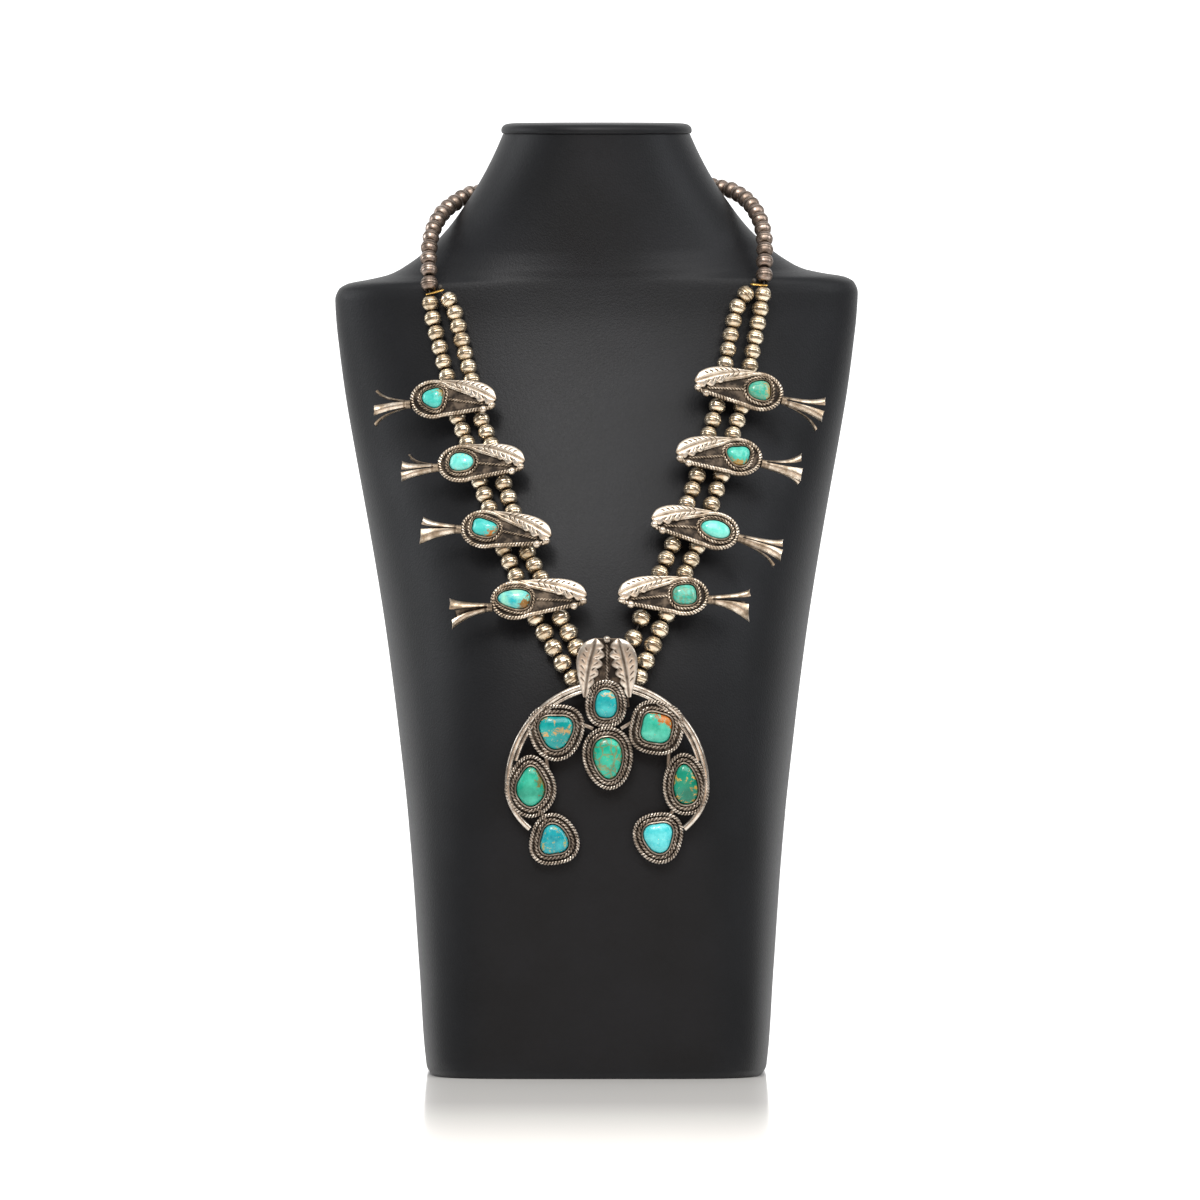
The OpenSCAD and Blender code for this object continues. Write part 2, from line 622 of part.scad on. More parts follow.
module clasp() {
    color(silver) translate([0, clasp_y, clasp_z]) rotate([0, 90, 0]) rotate_extrude() polygon([
        [0, -clasp_l / 2 + clasp_bore_l], [clasp_bore / 2, -clasp_l / 2 + clasp_bore_l],
        [clasp_bore / 2, -clasp_l / 2], [clasp_d / 2 - 1, -clasp_l / 2], [clasp_d / 2, -clasp_l / 2 + 1.6],
        [clasp_d / 2, clasp_l / 2 - 1.6], [clasp_d / 2 - 1, clasp_l / 2], [clasp_bore / 2, clasp_l / 2],
        [clasp_bore / 2, clasp_l / 2 - clasp_bore_l], [0, clasp_l / 2 - clasp_bore_l]
    ]);
}

// Threads. One runs through the clasp's ends, the neck beads, the outer strands and the pendant.
thread_in = 3;
function thread_half(side) = [
    clasp_end(side) - [side * (mouth + thread_in), 0, 0],
    each reversed(smooth(neck_stretch(side), thread_steps)),
    for (l = lines(outer_stretches(side), thread_steps)) each l
];
module main_thread() {
    color("dimgray") sweep(concat(thread_half(-1), reversed(thread_half(1))), thread_d, 4);
}

knot_d = 2;
knot_lift = 1.5;
function inner_start(side) = on_route(side, 2, top_lift) + [side * 1.4, 0.2, 3.2];
function inner_half(side) = [
    inner_start(side),
    inner_start(side) - [side * 0.6, 0, 1.8 * knot_lift],
    for (i = [0 : 4]) each smooth(inner_stretches(side)[i], i == 0 ? bend_steps : thread_steps)
];
module inner_thread() {
    color("dimgray") {
        sweep(concat(inner_half(-1), reversed(inner_half(1))), thread_d, 4);
        for (s = [-1, 1]) translate(inner_start(s)) sphere(d = knot_d, $fn = 10);
    }
}

// The link is a flat oval of wire round the main thread and under the inner thread's knot.
link_wire = 0.7;
link_end_r = 1.3;
function link_ends(side) = [on_route(side, 0, top_lift) + [0, 0.25, 0], inner_start(side) - [0, 0, knot_lift]];
module split_link(side) {
    ends = link_ends(side);
    half = norm(ends[1] - ends[0]) / 2;
    x = unit(ends[1] - ends[0]);
    z = unit(cross(x, [0, 1, 0.05]));
    y = cross(z, x);
    m = (ends[0] + ends[1]) / 2;
    line = [for (k = [0 : 11]) let (t = 15 + 30 * k) [sign(cos(t)) * half + link_end_r * cos(t), link_end_r * sin(t)]];
    color("goldenrod")
        multmatrix([[x[0], y[0], z[0], m[0]], [x[1], y[1], z[1], m[1]], [x[2], y[2], z[2], m[2]], [0, 0, 0, 1]])
        hoop(line, [for (k = [0 : 5]) link_wire / 2 * [cos(60 * k), sin(60 * k)]]);
}

module bust_form() {
    color(leatherette) skin([for (r = BUST_ROWS)
        [for (k = [0 : section_points - 1]) section_point(r[0], -360 * k / section_points)]]);
}

module bust_cap() {
    edge = 6.8;
    low = 1.4;
    steps = 4;
    color(leatherette) translate([0, 0, neck_top + 0.1]) rotate_extrude() polygon([
        [0, 0], [cap_d / 2 - 1, 0], [cap_d / 2, 0.9],
        for (k = [0 : steps])
            let (a = 90 * k / steps) [cap_d / 2 - edge + edge * cos(a), low + (cap_h - low) * sin(a)],
        [0, cap_h]
    ]);
}

bust_form();
bust_cap();
neck_beads(-1);  // neck_beads_left
neck_beads(1);  // neck_beads_right
clasp();
strand(outer_stretches(-1));  // outer_beads_left
strand(inner_stretches(-1));  // inner_beads_left
strand(outer_stretches(1));  // outer_beads_right
strand(inner_stretches(1));  // inner_beads_right
main_thread();
inner_thread();
split_link(-1);  // split_link_left
split_link(1);  // split_link_right
blossom(0);  // blossom_left_1
blossom(1);  // blossom_left_2
blossom(2);  // blossom_left_3
blossom(3);  // blossom_left_4
blossom(4);  // blossom_right_1
blossom(5);  // blossom_right_2
blossom(6);  // blossom_right_3
blossom(7);  // blossom_right_4
blossom_stone(0);  // blossom_left_1_stone
blossom_stone(1);  // blossom_left_2_stone
blossom_stone(2);  // blossom_left_3_stone
blossom_stone(3);  // blossom_left_4_stone
blossom_stone(4);  // blossom_right_1_stone
blossom_stone(5);  // blossom_right_2_stone
blossom_stone(6);  // blossom_right_3_stone
blossom_stone(7);  // blossom_right_4_stone
naja();
naja_stone_piece(0);  // naja_stone_1
naja_stone_piece(1);  // naja_stone_2
naja_stone_piece(2);  // naja_stone_3
naja_stone_piece(3);  // naja_stone_4
naja_stone_piece(4);  // naja_stone_5
naja_stone_piece(5);  // naja_stone_6
naja_stone_piece(6);  // naja_stone_7
naja_stone_piece(7);  // naja_stone_8
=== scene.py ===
import math
import bpy
import numpy as np
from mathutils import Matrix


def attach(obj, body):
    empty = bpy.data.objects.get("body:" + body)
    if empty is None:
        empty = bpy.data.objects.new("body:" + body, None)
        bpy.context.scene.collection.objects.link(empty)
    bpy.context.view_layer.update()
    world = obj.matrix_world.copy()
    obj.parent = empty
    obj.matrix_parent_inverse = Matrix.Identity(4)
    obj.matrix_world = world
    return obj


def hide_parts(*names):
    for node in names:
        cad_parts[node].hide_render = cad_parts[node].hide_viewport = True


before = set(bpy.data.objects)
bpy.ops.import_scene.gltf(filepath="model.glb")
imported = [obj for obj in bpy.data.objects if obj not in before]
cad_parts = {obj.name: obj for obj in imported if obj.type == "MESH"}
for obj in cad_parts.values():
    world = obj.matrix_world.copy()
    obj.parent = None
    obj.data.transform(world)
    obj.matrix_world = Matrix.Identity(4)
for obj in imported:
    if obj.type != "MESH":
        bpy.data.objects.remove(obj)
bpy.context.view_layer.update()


# Neck bust
# A shop display form: a stiff shell wrapped in black leatherette. It stands on a square foot, is deepest
# at the chest, slopes back to the shoulders and closes in a round neck. It stands free on its flat base.
MM = 0.001
# height, half width, front depth, back depth, front squareness
BUST_ROWS = np.array([
    [0, 66.6, 103, 36, 6], [3, 68.4, 104, 37, 6], [40, 71.2, 105, 38, 5.2], [80, 74, 105.5, 38, 4.4],
    [105, 76.2, 105, 38, 3.8], [130, 79, 103.5, 38, 3.3], [155, 82, 100, 38, 2.9], [180, 85.4, 94, 38, 2.6],
    [205, 89.4, 85.5, 38, 2.4], [230, 93.8, 74.5, 38, 2.3], [252, 97.8, 63.5, 38, 2.2],
    [272, 101.2, 54, 38, 2.2], [290, 103.6, 47, 38, 2.2], [303, 105, 43, 38, 2.2],
    [311, 105.4, 41.3, 37.5, 2.2], [315, 104, 40.6, 36.5, 2.2], [317.4, 100, 40.2, 36, 2.2],
    [318.8, 92, 40, 36, 2.2], [320.8, 83.5, 39.8, 36, 2.2], [324.5, 76.5, 39.4, 36, 2.1],
    [330, 69, 39, 36.4, 2], [339, 60, 38.6, 37, 2], [349, 52.6, 38.2, 37.4, 2], [359, 46.2, 37.9, 37.6, 2],
    [369, 41, 37.7, 37.7, 2], [376.2, 37.8, 37.7, 37.7, 2]])
# The right shoulder stands a little higher: rise for each mm to the right, by height
SHOULDER_TILT = 0.014
TILT_ROWS = np.array([[120, 0], [290, 1], [345, 1], [374, 0]])


def row_at(height, column):
    """A column of the bust's table on straight lines between its rows."""
    return np.interp(height, BUST_ROWS[:, 0], BUST_ROWS[:, column])


def tilt_share(height):
    """How much of the shoulder tilt a height has, on straight lines between the rows."""
    return np.interp(height, TILT_ROWS[:, 0], TILT_ROWS[:, 1])


def smooth_rows(height, column):
    """A column of the bust's table on a curve that never swings past its rows: cubic pieces whose slopes
    are the harmonic mean of the straight slopes on both sides."""
    x = BUST_ROWS[:, 0]
    y = BUST_ROWS[:, column]
    step = np.diff(x)
    slope = np.diff(y) / step
    inner = np.where(slope[1:] * slope[:-1] > 0, 2 * slope[1:] * slope[:-1] / (slope[1:] + slope[:-1] + 1e-12), 0)
    tangent = np.concatenate([[slope[0]], inner, [slope[-1]]])
    k = np.clip(np.searchsorted(x, height, side="right") - 1, 0, len(x) - 2)
    t = (height - x[k]) / step[k]
    a = y[k] * (1 + 2 * t) * (1 - t) ** 2 + tangent[k] * step[k] * t * (1 - t) ** 2
    b = y[k + 1] * (3 - 2 * t) * t ** 2 - tangent[k + 1] * step[k] * t ** 2 * (1 - t)
    return a + b


def full_turn(count):
    """Angles that go once round in even steps."""
    return np.linspace(0, 2 * np.pi, count, endpoint=False)


def columns(*values):
    """Values of the same shape set side by side, such as the x, y and z of points."""
    return np.stack(values, axis=-1)


class Piece:
    """Gathers closed surfaces that belong to one thing. Each point keeps how dark it is, from 0 to 1."""

    def __init__(self):
        self.parts = []
        self.count = 0

    def add(self, rings, dark=0.0, kind=0, loop=False):
        """Adds a closed surface: rings[i, j] is point j round section i. The ends are closed by fans, or
        joined to each other where loop is set. A surface that comes out inside out is turned."""
        rings = np.asarray(rings, float)
        n, m = rings.shape[:2]
        points = rings.reshape(-1, 3)
        shade = np.broadcast_to(np.asarray(dark, float), (n, m)).reshape(-1)
        here = np.arange(n * m).reshape(n, m)
        if loop:
            here = np.concatenate([here, here[:1]])
        after = np.roll(here, -1, axis=1)
        quads = columns(here[:-1], after[:-1], after[1:], here[1:]).reshape(-1, 4)
        fans = np.zeros((0, 3), int)
        if not loop:
            fans = np.concatenate([columns(after[0], here[0], np.full(m, n * m)),
                                   columns(here[-1], after[-1], np.full(m, n * m + 1))])
            points = np.concatenate([points, rings[0].mean(axis=0)[None], rings[-1].mean(axis=0)[None]])
            shade = np.concatenate([shade, [shade[:m].mean(), shade[-m:].mean()]])
        halves = np.concatenate([quads[:, [0, 1, 2]], quads[:, [0, 2, 3]], fans])
        corners = points[halves] - points.mean(axis=0)
        volume = np.einsum("ij,ij->i", corners[:, 0], np.cross(corners[:, 1], corners[:, 2])).sum()
        if volume < 0:
            quads = quads[:, ::-1]
            fans = fans[:, ::-1]
        self.parts.append((points, shade, quads + self.count, fans + self.count, np.full(len(quads), kind),
                           np.full(len(fans), kind)))
        self.count += len(points)

    def build(self, cad_node, ending, materials, crease=40):
        """Makes the object at the origin, in metres, gives it its materials, and puts it on the frame in place
        of its CAD node."""
        name = cad_node + ending
        points, shade, quads, fans, kinds, fan_kinds = (np.concatenate(rows) for rows in zip(*self.parts))
        corners = np.concatenate([quads.reshape(-1), fans.reshape(-1)])
        starts = np.concatenate([np.arange(len(quads)) * 4, len(quads) * 4 + np.arange(len(fans)) * 3])
        mesh = bpy.data.meshes.new(name)
        mesh.vertices.add(len(points))
        mesh.vertices.foreach_set("co", points.reshape(-1) * MM)
        mesh.loops.add(len(corners))
        mesh.loops.foreach_set("vertex_index", corners.astype(np.int32))
        mesh.polygons.add(len(starts))
        mesh.polygons.foreach_set("loop_start", starts.astype(np.int32))
        mesh.polygons.foreach_set("material_index", np.concatenate([kinds, fan_kinds]).astype(np.int32))
        mesh.polygons.foreach_set("use_smooth", np.ones(len(starts), bool))
        mesh.update(calc_edges=True)
        dark = mesh.attributes.new("dark", "FLOAT", "POINT")
        dark.data.foreach_set("value", shade.astype(np.float32))
        mesh.set_sharp_from_angle(angle=math.radians(crease))
        for material in materials:
            mesh.materials.append(material)
        thing = bpy.data.objects.new(name, mesh)
        bpy.context.scene.collection.objects.link(thing)
        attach(thing, "root")
        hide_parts(cad_node)
        return thing


def linear(colour):
    """A colour written as sRGB hex, such as #808080, as linear red, green, blue and alpha."""
    values = np.array([int(colour[k:k + 2], 16) for k in (1, 3, 5)]) / 255
    values = np.where(values <= 0.04045, values / 12.92, ((values + 0.055) / 1.055) ** 2.4)
    return (*values, 1.0)


def feed(tree, to, links):
    """Links sources to a node's inputs. A source is an output, or a node whose first output is meant."""
    for source, name in links:
        tree.links.new(source.outputs[0] if hasattr(source, "outputs") else source, to.inputs[name])


def node(tree, kind, links=(), stops=(), **settings):
    """Adds a node. Settings name its properties or its inputs, with underscores for spaces, links are
    (source, input), and stops are a colour ramp's (position, hex colour)."""
    made = tree.nodes.new("ShaderNode" + kind)
    for name, value in settings.items():
        if hasattr(made, name):
            setattr(made, name, value)
        else:
            made.inputs[name.replace("_", " ")].default_value = value
    if stops:
        elements = made.color_ramp.elements
        while len(elements) < len(stops):
            elements.new(0.5)
        for element, (position, colour) in zip(elements, stops):
            element.position = position
            element.color = linear(colour)
    feed(tree, made, links)
    return made


def new_material(name):
    """An empty node material, its tree, its shader and its object coordinates."""
    material = bpy.data.materials.new(name)
    material.use_nodes = True
    tree = material.node_tree
    tree.nodes.clear()
    shader = node(tree, "BsdfPrincipled")
    node(tree, "OutputMaterial", [(shader, "Surface")])
    return material, tree, shader, node(tree, "TexCoord").outputs["Object"]


# Black leatherette, embossed vinyl on cloth: fine pebbled grain that scatters a soft, slightly cool sheen.
leatherette, tree, shader, place = new_material("black_leatherette")
LEATHER_GRAIN_MM = 0.8
cells = node(tree, "TexVoronoi", [(place, "Vector")], Scale=1 / (LEATHER_GRAIN_MM * MM))
cloud = node(tree, "TexNoise", [(place, "Vector")], Scale=35.0, Detail=4.0)
fine = node(tree, "TexNoise", [(place, "Vector")], Scale=900.0, Detail=3.0)
grain = node(tree, "Math", [(cells, 0), (fine, 1)], operation="ADD")
colour = node(tree, "ValToRGB", [(cloud, "Fac")], [(0.3, "#0c0d0f"), (0.7, "#121316")])
rough = node(tree, "MapRange", [(fine, "Value")], To_Min=0.44, To_Max=0.56)
bump = node(tree, "Bump", [(grain, "Height")], Strength=0.35, Distance=0.00012)
feed(tree, shader, [(colour, "Base Color"), (rough, "Roughness"), (bump, "Normal")])
shader.inputs["Specular IOR Level"].default_value = 0.24
shader.inputs["Specular Tint"].default_value = linear("#f1f4f9")

# The skin lies just inside the solid's face. Its rings stand closest where the shoulders turn in.
SKIN_IN = 0.15
NECK_TOP = 376.2
bust = Piece()
rise = np.concatenate([
    np.linspace(0.0, 3.0, 5)[:-1], np.linspace(3.0, 296.0, 75)[:-1], np.linspace(296.0, 332.0, 60)[:-1],
    np.linspace(332.0, NECK_TOP, 26)])
height, angle = np.meshgrid(rise, full_turn(192), indexing="ij")
front = np.cos(angle) > 0
power = np.where(front, smooth_rows(height, 4), np.interp(height, [300, 330], [4.5, 2]))
half = smooth_rows(height, 1) - SKIN_IN
depth = np.where(front, smooth_rows(height, 2), smooth_rows(height, 3)) - SKIN_IN
reach = (np.abs(np.sin(angle)) ** power + np.abs(np.cos(angle)) ** power) ** (1 / power)
across = half * np.sin(angle) / reach
bust.add(columns(across, -depth * np.cos(angle) / reach,
                 height + SHOULDER_TILT * across * tilt_share(height)))
bust.build("bust_form", "_skin", [leatherette])


# Bust cap
# A round pad in the same leatherette that closes the neck. Its edge is stuffed and round, it turns in to
# a stitched seam on the neck, and its top is pulled nearly flat.
CAP_D = 76.8
cap = Piece()
# The stuffed edge from the seam to the top: how far in from the widest, how far up
edge_in = np.array([0.9, 0.45, 0.1, 0.0, 0.05, 0.35, 0.9, 1.8, 3.1, 4.8, 6.8])
edge_up = np.array([0.1, 0.25, 0.7, 1.3, 2.0, 2.75, 3.4, 3.9, 4.2, 4.36, 4.4])
fine_steps = np.linspace(0, len(edge_in) - 1, 40)
cap_r = CAP_D / 2 - np.interp(fine_steps, np.arange(len(edge_in)), edge_in)
cap_z = np.interp(fine_steps, np.arange(len(edge_up)), edge_up)
cap_r = np.concatenate([[CAP_D / 2 - 6], cap_r, [24.0, 14.0, 5.0]])
cap_z = np.concatenate([[0.1], cap_z, [4.36, 4.3, 4.28]])
turn = full_turn(160)
cap.add(columns(cap_r[:, None] * np.cos(turn), cap_r[:, None] * np.sin(turn),
                NECK_TOP + cap_z[:, None] + 0 * turn))
cap.build("bust_cap", "_pad", [leatherette])


# Silver beads
# Hollow bench beads: two domed halves soldered at the middle, with a hole punched flat at each end.
# One strand goes round the neck, and two strands a side run down the chest through the blossoms' tubes.
def front_y(x, z):
    """Depth of the bust's front face where it is seen from the front, on the same lines as the CAD."""
    h = z - SHOULDER_TILT * x * tilt_share(z)
    square = row_at(h, 4)
    near = max(1 - (abs(x) / row_at(h, 1)) ** square, 0.001)
    return -row_at(h, 2) * near ** (1 / square)


def unit(v):
    """A vector, or rows of them, at length one."""
    return v / np.linalg.norm(v, axis=-1, keepdims=True)


def front_normal(x, z):
    """The way out of the bust's front face."""
    return unit(np.array([(front_y(x + 1, z) - front_y(x - 1, z)) / 2, -1,
                          (front_y(x, z + 1) - front_y(x, z - 1)) / 2]))


def in_front(x, z, lift):
    """A point that stands off the front by a lift measured square to it."""
    return np.array([x, front_y(x, z) - lift / abs(front_normal(x, z)[1]), z])


CURVE_STEPS = 8


def smooth(points):
    """A curve through points: cubic pieces that leave each one along the line between its neighbours."""
    p = np.asarray(points, float)
    n = len(p)
    a, b, c, d = (p[np.clip(np.arange(n - 1) + k, 0, n - 1)][:, None] for k in (-1, 0, 1, 2))
    t = (np.arange(CURVE_STEPS) / CURVE_STEPS)[None, :, None]
    line = (2 * b + (c - a) * t + (2 * a - 5 * b + 4 * c - d) * t ** 2 + (3 * b - a - 3 * c + d) * t ** 3) / 2
    return np.concatenate([line.reshape(-1, 3), p[-1:]])


# side, right of the middle, height, tilt of the pointed end, slant of the strands, length of the pointed end
# as a share, stem's height, turn of the petals, place of the strands
BLOSSOMS = [
    (-1, -55.7, 269.2, -6.1, 16, 0.96, -3.6, 9, 2.4), (-1, -44.4, 244.1, -3.4, 18, 0.96, -2.8, 10, 0),
    (-1, -35.3, 217, -11, 22, 1.02, -2.4, 9, 0), (-1, -22.6, 190.6, -0.9, 27, 1.05, -3.4, 3, 0),
    (1, 55.6, 273.9, 3.8, 14, 0.99, -3.4, 10, 0), (1, 47.2, 247, -2, 17, 0.95, -3.8, 15, -0.5),
    (1, 37.8, 219, 5.4, 21, 0.97, -2.6, 9, -0.5), (1, 25.4, 191.8, -3.9, 24, 0.98, -2.6, 4, -0.6)]
# How far plates and strands stand off the chest, then the pair of tubes behind a plate
PLATE_LIFT = 8.2
STRAND_LIFT = 4.3
SHANK_GAP = 10.2
SHANK_L = 4.6


def blossom_frame(i):
    """A blossom's place: its middle on the chest, and the ways to its pointed end, up and out."""
    side, x, z, tilt = BLOSSOMS[i][:4]
    out = front_normal(x, z)
    a = math.radians(-side * tilt)
    right = unit(np.array([math.cos(a), -(out[0] * math.cos(a) + out[2] * math.sin(a)) / out[1], math.sin(a)]))
    return in_front(x, z, PLATE_LIFT), -side * right, np.cross(out, right), out


def shank_end(i, which, end):
    """Where a strand enters (-1) or leaves (1) a blossom's outer (-1) or inner (1) tube."""
    spot, along, up, out = blossom_frame(i)
    slant = math.radians(BLOSSOMS[i][4] - BLOSSOMS[i][3])
    far = end * (SHANK_L / 2 + 0.5)
    across = BLOSSOMS[i][8] + which * SHANK_GAP / 2 + far * math.sin(slant)
    return spot + across * along - far * math.cos(slant) * up + (STRAND_LIFT - PLATE_LIFT) * out


# The pendant's middle, how far back its tubes lie, and each tube's height above the middle and half length
NAJA_SPOT = np.array([4.2, -106.6, 128.6])
TUBE_BACK = 3.6
OUTER_TUBE = (28.4, 9.0)
INNER_TUBE = (34.6, 4.6)
# How far the strands stand off the bust at the split, on the chest and beside the pendant
TOP_LIFT = 3.9
CHEST_LIFT = 4.3
LOW_LIFT = 4.5
LINK_ROOM = 0.8
# right of the middle, height: the split, the outer strand below it, three points of the inner strand from its
# knot down, and the lowest bends of the outer and inner strands
LEFT_ROUTE = [(-67, 312.4), (-65.3, 300.6), (-61.2, 311.9), (-58, 308), (-55.6, 300), (-14.2, 167), (-8.4, 173)]
RIGHT_ROUTE = [(67.2, 315.8), (65.2, 303.2), (61.8, 314.4), (57.9, 309.6), (55.2, 302.4), (19.9, 167.2),
               (14, 173.6)]
# outwards, back, height: from the shoulder to the side of the neck
NECK_ROUTE = [(67.2, -33.2, 321), (67.3, -25, 330), (65.6, -15, 338), (61.6, -3.4, 344.8), (55.8, 8.2, 349.2)]
CLASP_Z = 357.0
CLASP_L = 14.0
CLASP_D = 5.2
# Behind the neck: height, distance off the skin, and angles from the front
NAPE_Z = 352.2
NAPE_LIFT = 4.6
NAPE_ANGLES = (112, 130, 148)
clasp_y = row_at(CLASP_Z, 3) + CLASP_D / 2 + 0.8


def on_route(side, k, lift):
    """A point of a side's route, stood off the chest."""
    x, z = (LEFT_ROUTE if side < 0 else RIGHT_ROUTE)[k]
    return in_front(x, z, lift)


def bridge(a, b):
    """The middle between two points, moved out to where a bead clears the chest."""
    m = (a + b) / 2
    return np.array([m[0], min(m[1], in_front(m[0], m[2], CHEST_LIFT)[1]), m[2]])


def tube_end(side, tube):
    """Where a strand reaches the pendant's tube."""
    return NAJA_SPOT + np.array([side * (tube[1] + 2.5), TUBE_BACK, tube[0]])


def stretches(side, which, top):
    """The five stretches of a strand down one side, each as its few guiding points."""
    f = 0 if side < 0 else 4
    tube = OUTER_TUBE if which < 0 else INNER_TUBE
    lines = [[*top, shank_end(f, which, -1)]]
    for i in range(f, f + 3):
        a = shank_end(i, which, 1)
        b = shank_end(i + 1, which, -1)
        lines.append([a, bridge(a, b), b])
    low = on_route(side, 5 if which < 0 else 6, LOW_LIFT)
    return lines + [[shank_end(f + 3, which, 1), low, tube_end(side, tube)]]


def outer_stretches(side):
    """The outer strand from the split down to the pendant."""
    split = on_route(side, 0, TOP_LIFT)
    return stretches(side, -1, [split + [0, -0.1, -LINK_ROOM], on_route(side, 1, TOP_LIFT)])


def inner_stretches(side):
    """The inner strand from its knot down to the pendant."""
    return stretches(side, 1, [on_route(side, k, TOP_LIFT) for k in (2, 3, 4)])


def neck_stretch(side):
    """The single strand from the split over the shoulder and round behind the neck to the clasp."""
    up = 3.4 if side > 0 else 0
    out = 0.2 if side > 0 else 0
    line = [on_route(side, 0, TOP_LIFT) + [0, 0.4, 1.5 * LINK_ROOM]]
    line += [np.array([side * (x + out), y, z + up]) for x, y, z in NECK_ROUTE]
    for a in NAPE_ANGLES:
        h = NAPE_Z + up / 2 + (CLASP_Z - NAPE_Z) * ((a - NAPE_ANGLES[0]) / 54) ** 1.2
        x = side * (row_at(h, 1) + NAPE_LIFT) * math.sin(math.radians(a))
        y = -(row_at(h, 3) + NAPE_LIFT) * math.cos(math.radians(a))
        line.append(np.array([x, y, h + SHOULDER_TILT * x * tilt_share(h)]))
    return line + [np.array([side * (CLASP_L / 2 + 0.5), clasp_y, CLASP_Z])]


# Tarnished silver: bright on what is rubbed, brown-grey where tarnish sits, nearly black deep in the work. The
# darkness each piece carries is partly tarnish in its cuts and hollows and partly painted shade: low on and
# behind parts, inside bores, petals and bead holes, and where beads meet.
def silver(name, bright, worn, tarnish, roughness, dented=0.25):
    """Silver that turns from bright to tarnished to black with the piece's own darkness, which is tarnish and
    painted shade, and with fine clouds. It is a little less than fully metallic, for the dull film on it."""
    material, tree, shader, place = new_material(name)
    dark = node(tree, "Attribute", attribute_name="dark").outputs["Fac"]
    cloud = node(tree, "TexNoise", [(place, "Vector")], Scale=260.0, Detail=5.0, Roughness=0.6)
    spots = node(tree, "TexNoise", [(place, "Vector")], Scale=1500.0, Detail=3.0)
    mixed = node(tree, "MapRange", [(cloud, "Value")], From_Min=0.35, From_Max=0.75,
                 To_Min=-0.1, To_Max=tarnish)
    total = node(tree, "Math", [(dark, 0), (mixed, 1)], operation="ADD", use_clamp=True)
    colour = node(tree, "ValToRGB", [(total, "Fac")],
                  [(0.0, bright), (0.35, worn), (0.75, "#5d5247"), (1.0, "#2c2723")])
    rough = node(tree, "MapRange", [(total, "Value")], To_Min=roughness, To_Max=0.62)
    dents = node(tree, "Math", [(cloud, 0), (spots, 1)], operation="ADD")
    bump = node(tree, "Bump", [(dents, "Height")], Strength=dented, Distance=0.0001)
    feed(tree, shader, [(colour, "Base Color"), (rough, "Roughness"), (bump, "Normal")])
    shader.inputs["Metallic"].default_value = 0.87
    return material


# Bench beads rubbed smooth by wear: crisp highlights, and a golden tone where the tarnish is thin
bead_silver = silver("bead_silver", "#e3d7c2", "#a08c6e", 0.3, 0.15, 0.08)
# The same beads where they are worn less: browner, with duller highlights
neck_silver = silver("neck_silver", "#d9cec4", "#8f7f75", 0.35, 0.17, 0.08)
BEAD_HOLE = 2.1
BEAD_GAP = 0.25
# diameter, length as a share of it
NECK_BEAD = (6.9, 0.82)
CHEST_BEAD = (7.1, 0.82)
LOW_BEAD = (7.5, 0.87)
# the beads of each stretch of a strand, from the split down to the pendant
STRETCH_BEADS = [NECK_BEAD, NECK_BEAD, CHEST_BEAD, CHEST_BEAD, LOW_BEAD]
random = np.random.default_rng(11)


def through(half, middle, sign=1):
    """A row that runs through one half times a sign, a middle value, and the half backwards."""
    return np.concatenate([sign * half, [middle], half[::-1]])


def bead_profile(d, long):
    """Radius, height along the hole and how dark: a punched hole, a small flat, a dome, and a raised seam. The
    darkness is painted shade inside the hole and towards both ends, where beads meet, and a darker line in the
    seam's groove.
    """
    up = through(np.array([0.8, 0.98, 1.0, 0.97, 0.86, 0.66, 0.46, 0.33, 0.22, 0.12]), 0, -1) * long / 2
    dome = np.sqrt(np.maximum(d * d / 4 - up ** 2, 0))
    dome[[0, 1, -2, -1]] = BEAD_HOLE / 2
    dome[[2, -3]] = BEAD_HOLE / 2 + 0.25
    dome += through(np.array([0, 0, 0, 0, 0, 0, 0, -0.01, -0.1, 0.02]), 0.03)
    return dome, up, through(np.array([1, 0.8, 0.4, 0.18, 0.06, 0.02, 0, 0.05, 0.6, 0.05]), 0)


def bead_row(piece, line, size, tarnish=0.0):
    """Sets beads evenly along a line. Each leans a degree or two, is up to 1.5% thinner, slightly oval, and a
    little brighter or darker, as hand-made ones are."""
    step = np.linalg.norm(np.diff(line, axis=0), axis=1)
    marks = np.concatenate([[0], np.cumsum(step)])
    d, share = size
    count = int(marks[-1] // (d * share + BEAD_GAP))
    turn = full_turn(22)
    for i in range(count):
        s = (i + 0.5) * marks[-1] / count
        k = int(np.searchsorted(marks, s, side="right") - 1)
        middle = line[k] + (line[k + 1] - line[k]) * (s - marks[k]) / step[k]
        way = unit(unit(line[k + 1] - line[k]) + random.normal(0, 0.03, 3))
        a = unit(np.cross(way, [0.3, 0.9, 0.2]))
        b = np.cross(way, a)
        radius, up, dark = bead_profile(d * random.uniform(0.985, 1.0), d * share)
        oval = 1 - 0.012 * np.cos(2 * (turn - random.uniform(0, 3)))
        around = a[None, :] * np.cos(turn)[:, None] + b[None, :] * np.sin(turn)[:, None]
        rings = middle + way * up[:, None, None] + radius[:, None, None] * (around * oval[:, None])[None]
        piece.add(rings, np.clip(dark[:, None] + tarnish + random.uniform(-0.05, 0.1), 0, 1), loop=True)


for side, word in ((-1, "left"), (1, "right")):
    for name, strand in (("outer_beads_", outer_stretches(side)), ("inner_beads_", inner_stretches(side))):
        piece = Piece()
        for points, size in zip(strand, STRETCH_BEADS):
            bead_row(piece, smooth(points), size)
        piece.build(name + word, "_silver", [bead_silver])
    piece = Piece()
    bead_row(piece, smooth(neck_stretch(side)), NECK_BEAD, 0.3)
    piece.build("neck_beads_" + word, "_silver", [neck_silver])


